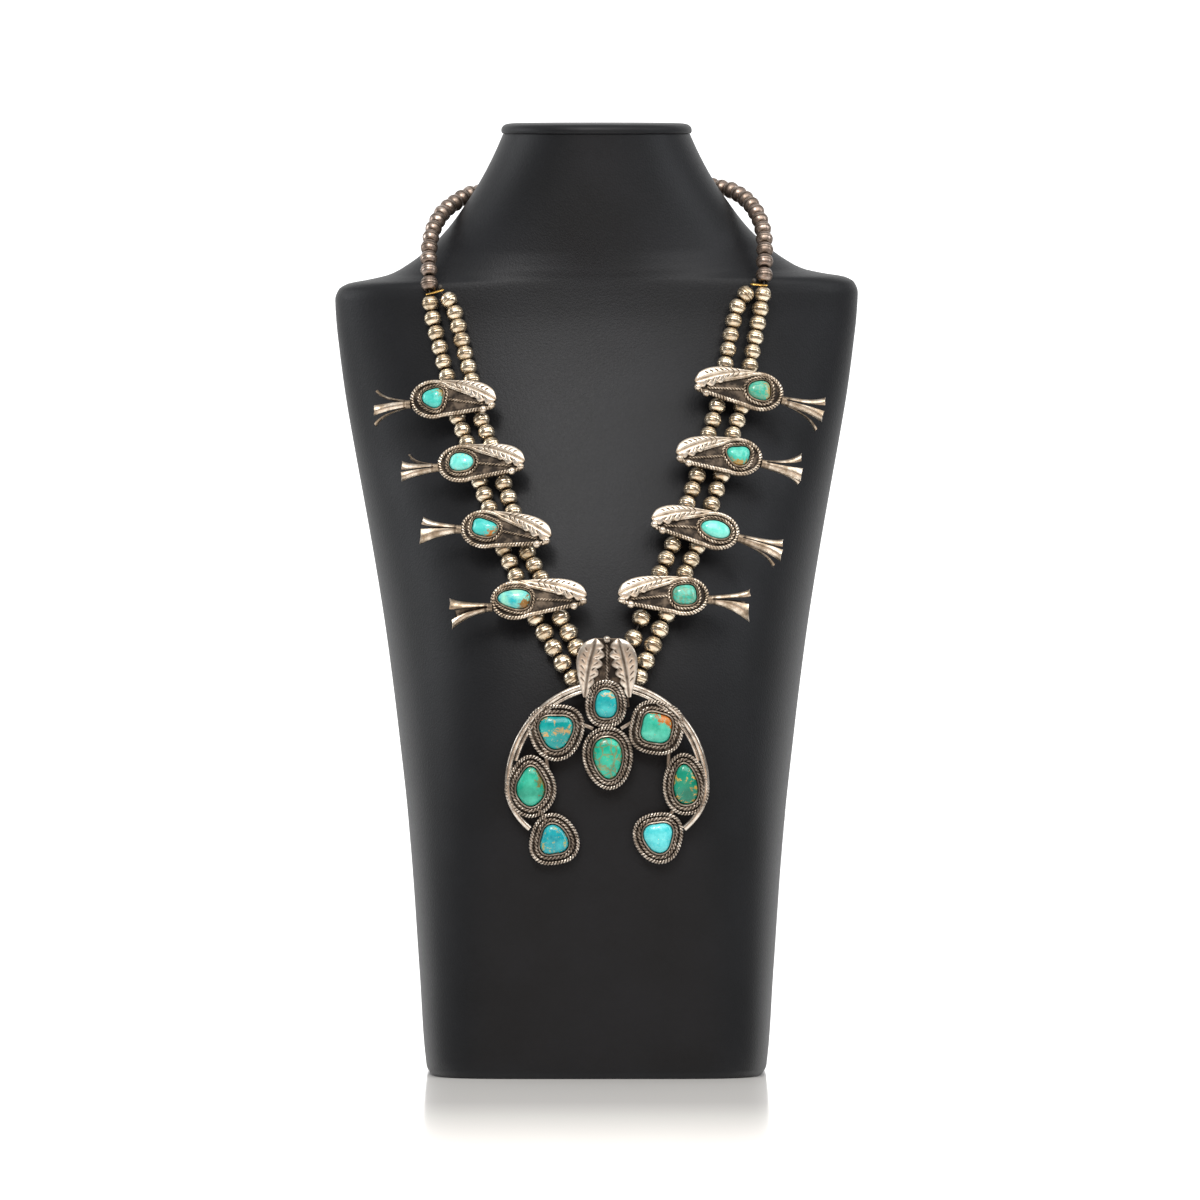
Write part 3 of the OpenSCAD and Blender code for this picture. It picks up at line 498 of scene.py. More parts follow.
# Threads
# Waxed dark thread of two twisted strands. One runs through the clasp, the neck beads, both outer strands
# and the pendant's lower tube. The other joins both inner strands and is knotted over the wire links.
# The wax fills the fibres: dark and lighter wisps with little shine.
thread, tree, shader, place = new_material("waxed_thread")
wisps = node(tree, "TexNoise", [(place, "Vector")], Scale=2500.0, Detail=3.0)
colour = node(tree, "ValToRGB", [(wisps, "Fac")], [(0.3, "#1d1a17"), (0.7, "#3b352e")])
bump = node(tree, "Bump", [(wisps, "Height")], Strength=0.6, Distance=0.0001)
feed(tree, shader, [(colour, "Base Color"), (bump, "Normal")])
shader.inputs["Roughness"].default_value = 0.6
THREAD_D = 0.8
THREAD_LAY = 2.4
THREAD_STEP = 0.9
KNOT_LIFT = 1.5


def along(line):
    """The way along a closed line at each of its points."""
    return unit(np.roll(line, -1, axis=0) - np.roll(line, 1, axis=0))


def sweep_frame(line):
    """Ways across and up for each point of an open line, square to it."""
    way = along(line)
    way[0] = unit(line[1] - line[0])
    way[-1] = unit(line[-1] - line[-2])
    side = unit(np.cross(way, np.where(np.abs(way[:, 2:]) > 0.9, [[1.0, 0, 0]], [[0, 0, 1.0]])))
    return side, np.cross(side, way)


def twisted(line, radius, lay, across, up, dark=0.0, loop=False, sides=10):
    """Two wires twisted together, as rings and how dark they are: a section of two lobes that turns once in
    each lay of its length."""
    step = np.linalg.norm(np.diff(line, axis=0, append=line[:1]), axis=1)
    marks = np.concatenate([[0], np.cumsum(step)[:-1]])
    total = step.sum() if loop else marks[-1]
    turns = max(round(total / lay), 1) / total
    theta = full_turn(sides)[None, :]
    lobe = np.abs(np.cos(theta - 2 * np.pi * turns * marks[:, None]))
    r = radius * (0.52 + 0.48 * lobe)
    rings = (line[:, None] + across[:, None] * (r * np.cos(theta))[..., None]
             + up[:, None] * (r * np.sin(theta))[..., None])
    return rings, np.clip(dark + (1 - lobe) ** 1.2, 0, 1)


def inner_start(side):
    """The knot at the top of an inner strand."""
    return on_route(side, 2, TOP_LIFT) + [side * 1.4, 0.2, 3.2]


def marks_along(line):
    """How far along a line each of its points lies."""
    return np.concatenate([[0], np.cumsum(np.linalg.norm(np.diff(line, axis=0), axis=1))])


def resample(line, count, closed=False):
    """The same line with its points an even distance apart. A closed one doesn't say its first point twice."""
    marks = marks_along(line)
    at = np.linspace(0, marks[-1], count, endpoint=not closed)
    return np.stack([np.interp(at, marks, column) for column in line.T], axis=-1)


def main_half(side):
    """The main thread from the clasp down one side."""
    start = np.array([side * (CLASP_L / 2 - 3), clasp_y, CLASP_Z])
    parts = [start[None], smooth(neck_stretch(side))[::-1]] + [smooth(p) for p in outer_stretches(side)]
    return np.concatenate(parts)


def inner_half(side):
    """The inner thread from its knot down one side."""
    start = inner_start(side)
    lead = start - [0.6 * side, 0, 1.8 * KNOT_LIFT]
    return np.concatenate([start[None], lead[None]] + [smooth(p) for p in inner_stretches(side)])


for name, half_line in (("main_thread", main_half), ("inner_thread", inner_half)):
    piece = Piece()
    line = np.concatenate([half_line(-1), half_line(1)[::-1]])
    line = resample(line, int(marks_along(line)[-1] / THREAD_STEP))
    piece.add(*twisted(line, THREAD_D / 2, THREAD_LAY, *sweep_frame(line), sides=8))
    if name == "inner_thread":
        polar = np.linspace(0.15, np.pi - 0.15, 10)
        turn = full_turn(14)
        for side in (-1, 1):
            r = 0.92 + 0.08 * np.cos(3 * turn[None, :] + 2 * polar[:, None])
            knot = columns(r * np.sin(polar)[:, None] * np.cos(turn), r * np.sin(polar)[:, None] * np.sin(turn),
                           np.cos(polar)[:, None] + 0 * turn)
            piece.add(inner_start(side) + knot)
    piece.build(name, "_twist", [thread])


# Split links
# A small oval of gold-coloured wire on each side, bent round and soldered shut. It holds the inner strand's
# knot on the main thread. Its plating gives a warm yellow glint, hardly tarnished.
gold = silver("gold_wire", "#e2b866", "#b98a3c", 0.2, 0.2)
LINK_WIRE = 0.7
LINK_END_R = 1.3
for side, word in ((-1, "left"), (1, "right")):
    a = on_route(side, 0, TOP_LIFT) + [0, 0.25, 0]
    b = inner_start(side) - [0, 0, KNOT_LIFT]
    x = unit(b - a)
    z = unit(np.cross(x, [0, 1, 0.05]))
    y = np.cross(z, x)
    t = full_turn(72)[:, None]
    stretch = np.clip(np.cos(t) * 3, -1, 1) * np.linalg.norm(b - a) / 2
    line = (a + b) / 2 + x * (stretch + LINK_END_R * np.cos(t)) + y * LINK_END_R * np.sin(t)
    way = along(line)
    ring = full_turn(12)[None, :, None]
    piece = Piece()
    section = np.cross(z, way)[:, None] * np.cos(ring) + z * np.sin(ring)
    piece.add(line[:, None] + LINK_WIRE / 2 * section, loop=True)
    piece.build("split_link_" + word, "_wire", [gold])


# Clasp
# A plain silver barrel behind the neck, hidden in front views. The main thread is tied in each end.
piece = Piece()
# half of the barrel, from inside its bore over the end to the groove in the middle: along, radius, how dark
barrel_x = through(np.array([3.0, 7.0, 7.0, 6.7, 6.2, 5.4, 5.2, 5.0, 0.25]), 0, -1)
barrel_r = through(np.array([0.9, 0.9, 1.6, 1.95, 2.3, 2.6, 2.38, 2.58, 2.6]), 2.42)
# The darkness is painted shade inside the bore, and the two grooves are darker.
barrel_dark = through(np.array([1, 1, 0.3, 0.1, 0.1, 0.1, 0.7, 0.1, 0.1]), 0.7)
turn = full_turn(40)
piece.add(columns(barrel_x[:, None] + 0 * turn, clasp_y + barrel_r[:, None] * np.cos(turn),
                  CLASP_Z + barrel_r[:, None] * np.sin(turn)), barrel_dark[:, None])
piece.build("clasp", "_barrel", [bead_silver])


# Blossom settings
# Silver squash blossoms, sawn and soldered by hand: a back plate with a half round border wire that is
# stamped in part, a bezel with a ring of twisted wire, a midrib, a stamped leaf, two balls, and a stem
# that opens into three rolled petals. Two tubes behind carry the strands.
STONE_OUT = 9.7
PLATE_T = 1.0
BORDER_D = 1.7
BEZEL_H = 1.7
STEM_R = 1.7
STONE_GAP = 0.13
STONE_FOOT = 0.12
# The plate: half sizes of the oval round the stone, radius of the pointed end, length to it
OVAL_RX = 10
OVAL_RY = 8.2
TIP_R = 2.2
PLATE_L = 27
BALL_R = 1.5
CUT_SPACING = 1.25
BEZEL_WALL = 0.6
ROPE_R = 0.66
ROPE_STEP = 0.24
SHANK_R = 1.8
BORE_R = 1.0
# width, foot and top of the strip that joins a tube to its plate
SADDLE = (2.0, -2.4, 0.1)
# number of sections, height, radius and lay of the midrib
BLOSSOM_RIB = (90, PLATE_T + 0.35, 0.55, 2.6)
# the leaf: bow, width on both sides of its vein, rise, how far out it is widest, scallops, pairs of cuts
BLOSSOM_LEAF = (1.4, 3.6, 4.2, 2.3, 2.1, 6, 7)
# half length, half height, turn, three corners, their turn, four corners, their turn
BLOSSOM_STONES = [
    (4.5, 4.2, 0, 0.1, 60, 0.02, 45), (5.1, 4, 0, 0.04, 0, 0.02, 45), (5.6, 3.7, -6, 0.05, 20, 0.05, 45),
    (6.7, 4.1, -4, 0.08, 180, 0.02, 40), (4.8, 4.2, 0, 0.06, 0, 0.03, 45), (4.8, 4.2, 0, 0.1, 270, 0.03, 45),
    (6.1, 3.8, 10, 0.02, 0, 0, 0), (5.1, 4.4, 0, 0.02, 0, 0.05, 45)]

# Plates left dark by the oxidising bath, wires worn bright on top with painted shade at their feet and backs,
# leaves rubbed to a pale satin
plate_silver = silver("oxidised_plate", "#8a7f72", "#62594f", 0.5, 0.4)
wire_silver = silver("worn_and_shaded_wire", "#ddd2c3", "#998976", 0.5, 0.27)
leaf_silver = silver("bright_leaf", "#e6dccf", "#b9aa97", 0.25, 0.3)
SILVERS = [plate_silver, wire_silver, leaf_silver]
PLATE, WIRE, LEAF = 0, 1, 2


def stone_outline(row, grow, count=200):
    """A stone's edge seen from above: an oval with swells for its corners, grown outwards."""
    long, high, turn, three, at_three, four, at_four = row
    a = full_turn(count)
    swell = 1 + three * np.cos(3 * (a - math.radians(at_three))) + four * np.cos(4 * (a - math.radians(at_four)))
    x = (long * swell + grow) * np.cos(a)
    y = (high * swell + grow) * np.sin(a)
    t = math.radians(turn)
    return columns(x * math.cos(t) - y * math.sin(t), x * math.sin(t) + y * math.cos(t))


def drop_outline(end, grow):
    """A blossom plate's edge round its stone: an oval that runs out to a small round tip."""
    a = np.radians(np.linspace(56, 304, 80))
    oval = columns((OVAL_RX + grow) * np.cos(a), (OVAL_RY + grow) * np.sin(a) - 0.3)
    b = np.radians(np.linspace(-65, 65, 16))
    tip = columns(end - TIP_R + (TIP_R + grow) * np.cos(b), 0.2 + (TIP_R + grow) * np.sin(b))
    return evenly(np.concatenate([oval, tip]), 240)


def evenly(outline, count):
    """A closed outline with its points an even distance apart."""
    return resample(np.concatenate([outline, outline[:1]]), count, True)


def at_height(outline, z):
    """Outline points, flat in the drawing, at a height above the plate's back."""
    return np.concatenate([outline, np.broadcast_to(np.asarray(z, float), (len(outline),))[:, None]], axis=1)


def outward(outline):
    """The way out of a closed outline at each of its points."""
    way = along(outline)
    return columns(way[:, 1], -way[:, 0])


def plate(put, piece, outline):
    """A back plate: the outline at its foot and face, drawn in to the middle over a slight dome."""
    middle = outline.mean(axis=0)
    shares = [0.4, 0.99, 1.0, 1.0, 0.985, 0.75, 0.4, 0.1]
    levels = [0, 0, 0.12, PLATE_T - 0.12, PLATE_T, PLATE_T + 0.06, PLATE_T + 0.1, PLATE_T + 0.12]
    rings = [at_height(middle + s * (outline - middle), z) for s, z in zip(shares, levels)]
    dark = np.array([0.3, 0.3, 0.25, 0.3, 0.9, 0.85, 0.8, 0.8])[:, None]
    piece.add(put(np.array(rings)), dark, PLATE)


def length_round(outline):
    """The length of a closed outline."""
    return np.linalg.norm(np.roll(outline, -1, axis=0) - outline, axis=1).sum()


def raised(flat, z):
    """Points drawn flat, each at a height of its own."""
    return np.concatenate([flat, z[..., None]], axis=-1)


def border(put, piece, outline, stamped):
    """A half round wire along an outline, with slanting cuts stamped across it where stamped is 1."""
    line = evenly(outline, int(len(outline) * 2.2))
    marks = np.linspace(0, 1, len(line), endpoint=False)
    share = np.interp(marks, np.linspace(0, 1, len(stamped)), stamped)
    out = outward(line)
    cuts = round(length_round(line) / CUT_SPACING)
    theta = np.radians(np.linspace(-12, 192, 11))[None, :]
    wave = np.cos(2 * np.pi * (cuts * marks[:, None] + 0.36 * np.cos(theta)))
    groove = np.clip((wave - 0.25) / 0.75, 0, 1) ** 1.2 * share[:, None]
    r = BORDER_D / 2 * (1 - 0.42 * groove)
    flat = line[:, None] + out[:, None] * (r * np.cos(theta))[..., None]
    # The stamped cuts are darker, and painted shade darkens the wire low down at its foot on the plate.
    dark = 0.06 + 0.95 * groove + 0.5 * np.clip(0.3 - np.sin(theta), 0, 1)
    piece.add(put(raised(flat, PLATE_T + 0.25 + 1.05 * r * np.sin(theta))), np.clip(dark, 0, 1), WIRE, loop=True)


def rope_ring(put, piece, row, wall, radius):
    """A ring of twisted wire that lies round a bezel's foot."""
    outline = stone_outline(row, STONE_GAP + wall + radius)
    line = evenly(outline, int(length_round(outline) / ROPE_STEP))
    rings, dark = twisted(at_height(line, PLATE_T + 0.8 * radius), radius, 4.2 * radius,
                          at_height(outward(line), 0), np.tile([0, 0, 1.0], (len(line), 1)), 0.1, loop=True)
    piece.add(put(rings), dark, WIRE, loop=True)


def midrib(put, piece, a, b, count, z, radius, lay):
    """A straight twisted wire that lies on a plate from a to b."""
    line = at_height(columns(np.linspace(a[0], b[0], count), np.linspace(a[1], b[1], count)), z)
    rings, dark = twisted(line, radius, lay, *sweep_frame(line), 0.15)
    piece.add(put(rings), dark, WIRE)


def bezel(put, piece, row, wall):
    """The wall round a stone: up from the plate with 31 faint dents, rubbed over at the top, and down inside."""
    steps = [(wall + 0.05, -0.1), (wall + 0.1, 0.6), (wall + 0.05, 1.2), (0.8 * wall, 1.5), (0.5 * wall, 1.66),
             (0.24, BEZEL_H), (0.13, 1.6), (0.1, 1.2), (0.1, -0.1)]
    ripple = 0.02 * np.cos(31 * full_turn(200))
    rings = [at_height(stone_outline(row, grow + (ripple if 0.3 < z < 1.6 and grow > 0.3 else 0)), PLATE_T + z)
             for grow, z in steps]
    # Painted shade: darkest at the foot and on the inner wall, lightest over the top.
    dark = np.array([0.9, 0.75, 0.5, 0.35, 0.3, 0.3, 0.6, 0.9, 1])
    rings = np.array(rings).transpose(1, 0, 2)
    piece.add(put(rings), np.broadcast_to(dark, rings.shape[:2]), WIRE, loop=True)


def setting(put, piece, row, outline, stamped, wall, rope):
    """What holds a stone: a plate, the border on its edge, a bezel and the ring round that. The outline is a
    function of how far the edge is drawn in."""
    plate(put, piece, outline(0.25))
    border(put, piece, outline(BORDER_D / 2), stamped)
    bezel(put, piece, row, wall)
    rope_ring(put, piece, row, wall, rope)


def leaf(put, piece, stem, tip, bow, wide_a, wide_b, rise, widest, scallops, cuts):
    """A stamped leaf: full in its outer half, one edge scalloped, a sunk vein and slanting cuts beside it."""
    stem = np.array(stem, float)
    tip = np.array(tip, float)
    length = np.linalg.norm(tip - stem)
    way = (tip - stem) / length
    side = np.array([-way[1], way[0]])
    t = np.linspace(0, 1, 120)[:, None]
    s = np.concatenate([np.linspace(1, -1, 37), [-0.9, 0.0, 0.9]])[None, :]
    top = np.concatenate([np.ones(37), np.zeros(3)])[None, :]
    full = 0.12 + 0.88 * np.sin(np.pi * (0.02 + 0.93 * t) ** widest) ** 0.7
    full = full * np.sqrt(np.clip(1 - (np.maximum(t - 0.88, 0) / 0.125) ** 2, 0, 1))
    notch = 1 - 0.36 * (1 - np.abs(np.sin(np.pi * scallops * t)) ** 0.8)
    a = wide_a * full
    b = wide_b * full * notch
    off = np.where(s > 0, s * a, s * b)
    mid = bow * np.sin(np.pi * t)
    swell = rise * (0.45 + 0.55 * full)
    dome = 0.5 + 0.5 * np.sqrt(np.clip(1 - s ** 2, 0, 1)) - 0.28 * np.exp(-(off / 0.55) ** 2)
    wide = np.where(off > 0, a, b)
    marks = np.zeros_like(off)
    for k in range(cuts):
        at = 0.24 + 0.6 * (k + 0.5) / cuts
        for hand in (1, -1):
            x = (t - at) * length
            y = hand * off - 0.52 * wide
            run = 0.72 * x + 0.7 * y
            drift = -0.7 * x + 0.72 * y
            marks = np.maximum(marks, np.exp(-(drift / 0.24) ** 2) * np.exp(-(run / 0.9) ** 4) * (hand * off > 0))
    lift = PLATE_T - 0.1 + np.where(top > 0, swell * dome - 0.28 * marks, 0.0)
    flat = stem + t[..., None] * (tip - stem) + (mid + off)[..., None] * side
    vein = np.exp(-(off / 0.4) ** 2)
    rim = np.abs(s) ** 12
    # Darker in the cuts and the vein; painted shade darkens the edges and the underside.
    dark = np.clip(0.04 + 0.95 * marks + 0.5 * vein + 0.35 * rim, 0, 1) * top + 0.8 * (1 - top)
    piece.add(put(raised(flat, lift)), dark, LEAF)


def ball(put, piece, x, y, z):
    """A melted silver ball with a slightly flat foot."""
    polar = np.linspace(0.12, np.pi - 0.12, 14)[:, None]
    turn = full_turn(20)[None, :]
    up = np.maximum(np.cos(polar), -0.75)
    rings = columns(x + BALL_R * np.sin(polar) * np.cos(turn), y + BALL_R * np.sin(polar) * np.sin(turn),
                    z + BALL_R * up + 0 * turn)
    # Painted shade: the ball darkens from above its middle down to its foot.
    piece.add(put(rings), np.clip(0.25 - 0.9 * np.cos(polar), 0, 0.9), WIRE)


def petal(put, piece, root, length, at, y1, z1, y2, z2):
    """A petal of sheet silver: a third of the round stem that opens, slowly and then fast, to a straight lip
    of its own from (y1, z1) to (y2, z2). The lip is bowed and rolled outwards."""
    t = np.linspace(0, 1, 28)[:, None]
    outer = np.linspace(-1, 1, 15)
    q = np.concatenate([outer, outer[::-1]])[None, :]
    inside = np.concatenate([np.zeros(15), np.ones(15)])[None, :]
    sunk = inside * 0.5 * (1 - 0.3 * t)
    a = math.radians(at) + math.radians(46) * q
    way = unit(np.array([y2 - y1, z2 - z1]))
    out = np.array([-way[1], way[0]])
    opened = 0.5 * t + 0.5 * t ** 3
    bow = 0.9 * (1 - q ** 2) + 0.7 * t ** 8 - sunk
    stem = (STEM_R - sunk)[..., None] * columns(np.sin(a), np.cos(a))
    lip = (np.array([y1 + y2, z1 + z2]) / 2 + (q * math.hypot(y2 - y1, z2 - z1) / 2)[..., None] * way
           + bow[..., None] * out)
    flat = (1 - opened)[..., None] * stem + opened[..., None] * lip
    x = -length * (t - 0.03 * (1 - np.abs(q) ** 3) * t ** 6)
    rings = columns(root[0] + x, root[1] + flat[..., 0], root[2] + flat[..., 1])
    fold = np.exp(-((t - 0.06) / 0.03) ** 2)
    # Painted shade: the inner face is darker, less so at the lip, the fold at the root darker still, and the
    # edges a little darker.
    dark = 0.1 + 0.7 * inside * (1 - 0.35 * t ** 6) + 0.2 * np.abs(q) ** 10 * (1 - t ** 4) + 0.5 * fold
    piece.add(put(rings), np.clip(dark, 0, 1), WIRE)


def tube(put, piece, middle, way, length, outer, inner):
    """A short open tube."""
    way = unit(np.array(way, float))
    a = unit(np.cross(way, [0, 0, 1.0]))
    b = np.cross(way, a)
    turn = full_turn(20)[None, :, None]
    walls = np.array([(-0.5, inner), (-0.5, outer - 0.12), (-0.46, outer), (0.46, outer), (0.5, outer - 0.12),
                      (0.5, inner)])
    rings = (np.array(middle) + way * (walls[:, 0] * length)[:, None, None]
             + walls[:, 1][:, None, None] * (a * np.cos(turn) + b * np.sin(turn)))
    # Painted shade inside the bore, lighter on the outside.
    piece.add(put(rings), np.array([0.9, 0.5, 0.4, 0.4, 0.5, 0.9])[:, None], WIRE, loop=True)


def bar(put, piece, a, b, wide, low, high):
    """A straight bar with rounded long edges from a to b, between two heights."""
    a = np.array(a, float)
    b = np.array(b, float)
    way = (b - a) / np.linalg.norm(b - a)
    side = np.array([-way[1], way[0]])
    ring = np.radians(np.linspace(0, 360, 12, endpoint=False))
    flat = np.stack([a, b])[:, None] + side * (np.sign(np.cos(ring)) * np.abs(np.cos(ring)) ** 0.6
                                               * wide / 2)[None, :, None]
    z = (low + high) / 2 + (high - low) / 2 * np.sign(np.sin(ring)) * np.abs(np.sin(ring)) ** 0.6
    piece.add(put(raised(flat, np.broadcast_to(z, (2, 12)))), 0.35, WIRE)


def placer(spot, along, up, out, shift):
    """A function that puts drawn points, in mm, on their place in the frame."""
    def put(points):
        return spot + (points[..., 0:1] + shift) * along + points[..., 1:2] * up + points[..., 2:3] * out
    return put


# Where each blossom's border is stamped as rope, as shares of its length from the upper end of the oval
STAMPED = np.array([0.1, 0.1, 0.4, 1, 1, 1, 0.6, 0.15, 0.6, 1, 1, 0.7, 0.3, 0.1, 0.1, 0.1])
# length, angle at the root from the front over the top, then up and out of both ends of the lip
PETALS = [
    [(12.9, 80, 4.9, 2, 5.1, -1.5), (13.3, -10, -4.6, 0.8, -0.4, 1.2), (13.6, 235, -6.4, -3.5, -6.6, -0.8)],
    [(11.3, 120, 6.6, -0.5, 6.2, -3), (13.5, 50, -0.1, 1.4, 4, 0.2), (13.7, -60, -4.5, 0, -1, 1.4)],
    [(13.3, 180, 2, -3, -3, -3), (14.9, 50, 0.7, 1.2, 4.2, 0), (14.9, -55, -7.3, 0, -1.1, 1.2)],
    [(13.8, 190, 0, -2.8, -4.5, -2.6), (15.5, 50, -1, 1.3, 3.9, 0.2), (14.5, -70, -8.6, -0.4, -5, 1)],
    [(15.2, 225, -6.9, -4, -7.3, -1.5), (16.1, 60, 1.5, 1.2, 5, 0.2), (16.2, -50, -4.9, -0.6, -0.7, 1)],
    [(15.3, 215, -2.9, -4, -3.3, -1.5), (14.3, 70, 3.8, 1.2, 7.6, 0.2), (15.3, -40, -3.9, -0.6, 1.1, 1)],
    [(15.4, 225, -5.9, -4, -6.2, -1.5), (16.8, 55, 0, 1.2, 3.5, 0.2), (17.2, -50, -5.3, -0.6, -0.9, 1)],
    [(14.2, 190, 0, -2.8, -5, -2.6), (15.6, 50, 0.8, 1.2, 3.9, 0.2), (14.7, -60, -9.5, -0.4, -2.4, 1.2)]]
STEM_L = 1.0
names = [word + str(k) for word in ("left_", "right_") for k in (1, 2, 3, 4)]
for i, name in enumerate(names):
    tilt, strand, long, stem_y, bend, strand_x = BLOSSOMS[i][3:]
    end = PLATE_L * long
    put = placer(*blossom_frame(i), -STONE_OUT)
    row = BLOSSOM_STONES[i]
    piece = Piece()
    setting(put, piece, row, lambda inset: drop_outline(end, -inset), STAMPED, BEZEL_WALL, ROPE_R)
    midrib(put, piece, (row[0] + 1.8, 0.3), (22 * long, 0.0), *BLOSSOM_RIB)
    leaf(put, piece, (1.6, 7.7), (end + 0.2, 2.3), *BLOSSOM_LEAF)
    ball(put, piece, 22.8 * long, -2.4, PLATE_T + 1)
    ball(put, piece, 26.2 * long, -0.2, PLATE_T + 1)
    b = math.radians(bend)
    turned = np.array([[math.cos(b), math.sin(b), 0], [-math.sin(b), math.cos(b), 0], [0, 0, 1]])

    def at_stem(points):
        """Puts points drawn round the stem's middle on the blossom, turned down by the petals' own angle."""
        return put(points @ turned + np.array([-OVAL_RX, stem_y, PLATE_T + 0.2]))
    tube(at_stem, piece, (0, 0, 0), (1, 0, 0), 2 * STEM_L, STEM_R, 0.5)
    for shape in PETALS[i]:
        petal(at_stem, piece, (0.3 - STEM_L, 0, 0), *shape)
    slant = math.radians(strand - tilt)
    down = np.array([math.sin(slant), -math.cos(slant)])
    for s in (-1, 1):
        middle = np.array([STONE_OUT + strand_x + s * SHANK_GAP / 2, 0, STRAND_LIFT - PLATE_LIFT])
        tube(put, piece, middle, (*down, 0), SHANK_L, SHANK_R, BORE_R)
        bar(put, piece, middle[:2] + SHANK_R * down, middle[:2] - SHANK_R * down, *SADDLE)
    piece.build("blossom_" + name, "_silver", SILVERS)


# Turquoise cabochons
# Natural stones cut to low domes, each with its own blue or green and its own brown or golden matrix.
# They sit on the plates inside their bezels.
STONE_H = 3.2


def turquoise(name, base, light, matrix, amount, scale, patch, patch_way, veins):
    """Polished turquoise: clouds of two blues, a patch of host rock to one side, specks and a web of veins."""
    material, tree, shader, place = new_material(name)
    spot = node(tree, "TexCoord").outputs["UV"]
    cloud = node(tree, "TexNoise", [(place, "Vector")], Scale=scale, Detail=6.0, Roughness=0.65)
    colour = node(tree, "ValToRGB", [(cloud, "Fac")], [(0.36, base), (0.64, light)])
    specks = node(tree, "TexNoise", [(place, "Vector")], Scale=scale * 3.1, Detail=5.0, Roughness=0.7,
                  Distortion=0.6)
    side = node(tree, "VectorMath", [(spot, 0)], operation="DOT_PRODUCT")
    side.inputs[1].default_value = (*patch_way, 0)
    near = node(tree, "MapRange", [(side.outputs["Value"], "Value")], From_Min=0.1, From_Max=1.0,
                To_Min=0.0, To_Max=patch)
    rocky = node(tree, "Math", [(specks, 0), (near, 1)], operation="ADD")
    mask = node(tree, "MapRange", [(rocky, "Value")], From_Min=0.66 - amount, From_Max=0.73 - amount)
    warp = node(tree, "VectorMath", [(cloud.outputs["Color"], 0), (place, 2)], operation="MULTIPLY_ADD")
    warp.inputs[1].default_value = (0.005, 0.005, 0.005)
    web = node(tree, "TexVoronoi", [(warp, "Vector")], Scale=scale * 1.4, feature="DISTANCE_TO_EDGE")
    line = node(tree, "MapRange", [(web, "Value")], From_Min=0.02, From_Max=0.1, To_Min=veins, To_Max=0.0)
    both = node(tree, "Math", [(mask, 0), (line, 1)], operation="MAXIMUM", use_clamp=True)
    rock = node(tree, "ValToRGB", [(cloud, "Fac")], [(0.35, matrix[0]), (0.65, matrix[1])])
    mix = node(tree, "Mix", [(both, "Factor"), (colour, 6), (rock, 7)], data_type="RGBA")
    rough = node(tree, "MapRange", [(both, "Value")], To_Min=0.1, To_Max=0.3)
    feed(tree, shader, [(mix.outputs[2], "Base Color"), (rough, "Roughness")])
    shader.inputs["Specular IOR Level"].default_value = 0.4
    return material


def cabochon(put, name, row, material):
    """A low dome over the stone's outline, a little flatter than round. Its UV is the place on the stone."""
    rise = np.radians(np.array([0, 0, 6, 14, 24, 35, 46, 56, 65, 73, 80, 85, 88.5]))
    wide = np.cos(rise) ** (2 / 2.5)
    high = np.sin(rise) ** (2 / 2.3)
    wide[0] = 0.93
    outline = stone_outline(row, 0, 72)
    piece = Piece()
    rings = np.array([at_height(outline * w, PLATE_T + STONE_FOOT + (STONE_H - STONE_FOOT) * h)
                      for w, h in zip(wide, high)])
    piece.add(put(rings))
    thing = piece.build(name, "_turquoise", [material], 60)
    layer = thing.data.uv_layers.new(name="across_stone")
    flat = np.concatenate([rings[..., :2].reshape(-1, 2), rings[0, :, :2].mean(axis=0)[None],
                           rings[-1, :, :2].mean(axis=0)[None]]) / max(row[0], row[1])
    corner = np.empty(len(thing.data.loops), np.int32)
    thing.data.loops.foreach_get("vertex_index", corner)
    layer.data.foreach_set("uv", flat[corner].reshape(-1))


# base, light, (matrix dark, matrix light), specks, scale, patch, way to the patch, veins
BLOSSOM_LOOKS = [
    ("#33a79e", "#58c5bc", ("#6d5a33", "#9a8350"), 0.04, 260.0, 0.2, (0.7, 0.7), 0.0),
    ("#52bdb5", "#7dd6ce", ("#a58c5a", "#c3ad7c"), 0.05, 300.0, 0.1, (0.0, 1.0), 0.0),
    ("#2ba6a2", "#52c4be", ("#8a5526", "#b97b36"), 0.03, 260.0, 0.3, (0.7, -0.7), 0.0),
    ("#2ca6af", "#93d6bd", ("#6b4a22", "#8f6a35"), 0.02, 200.0, 0.32, (0.8, -0.6), 0.0),
    ("#288a76", "#4aab96", ("#8f7a4a", "#b39a66"), 0.04, 260.0, 0.3, (-1.0, 0.1), 0.25),
    ("#2fa292", "#53bfad", ("#8a6a2c", "#b08b45"), 0.02, 260.0, 0.34, (0.1, -1.0), 0.0),
    ("#55c4b7", "#82d8cb", ("#b09a6a", "#cbb88c"), 0.02, 300.0, 0.0, (0.0, 1.0), 0.0),
    ("#339a88", "#5abba8", ("#6b5a3c", "#8f7a52"), 0.05, 300.0, 0.1, (0.5, 0.5), 0.5)]
for i, name in enumerate(names):
    look = turquoise("turquoise_" + name, *BLOSSOM_LOOKS[i])
    cabochon(placer(*blossom_frame(i), -STONE_OUT), "blossom_" + name + "_stone", BLOSSOM_STONES[i], look)


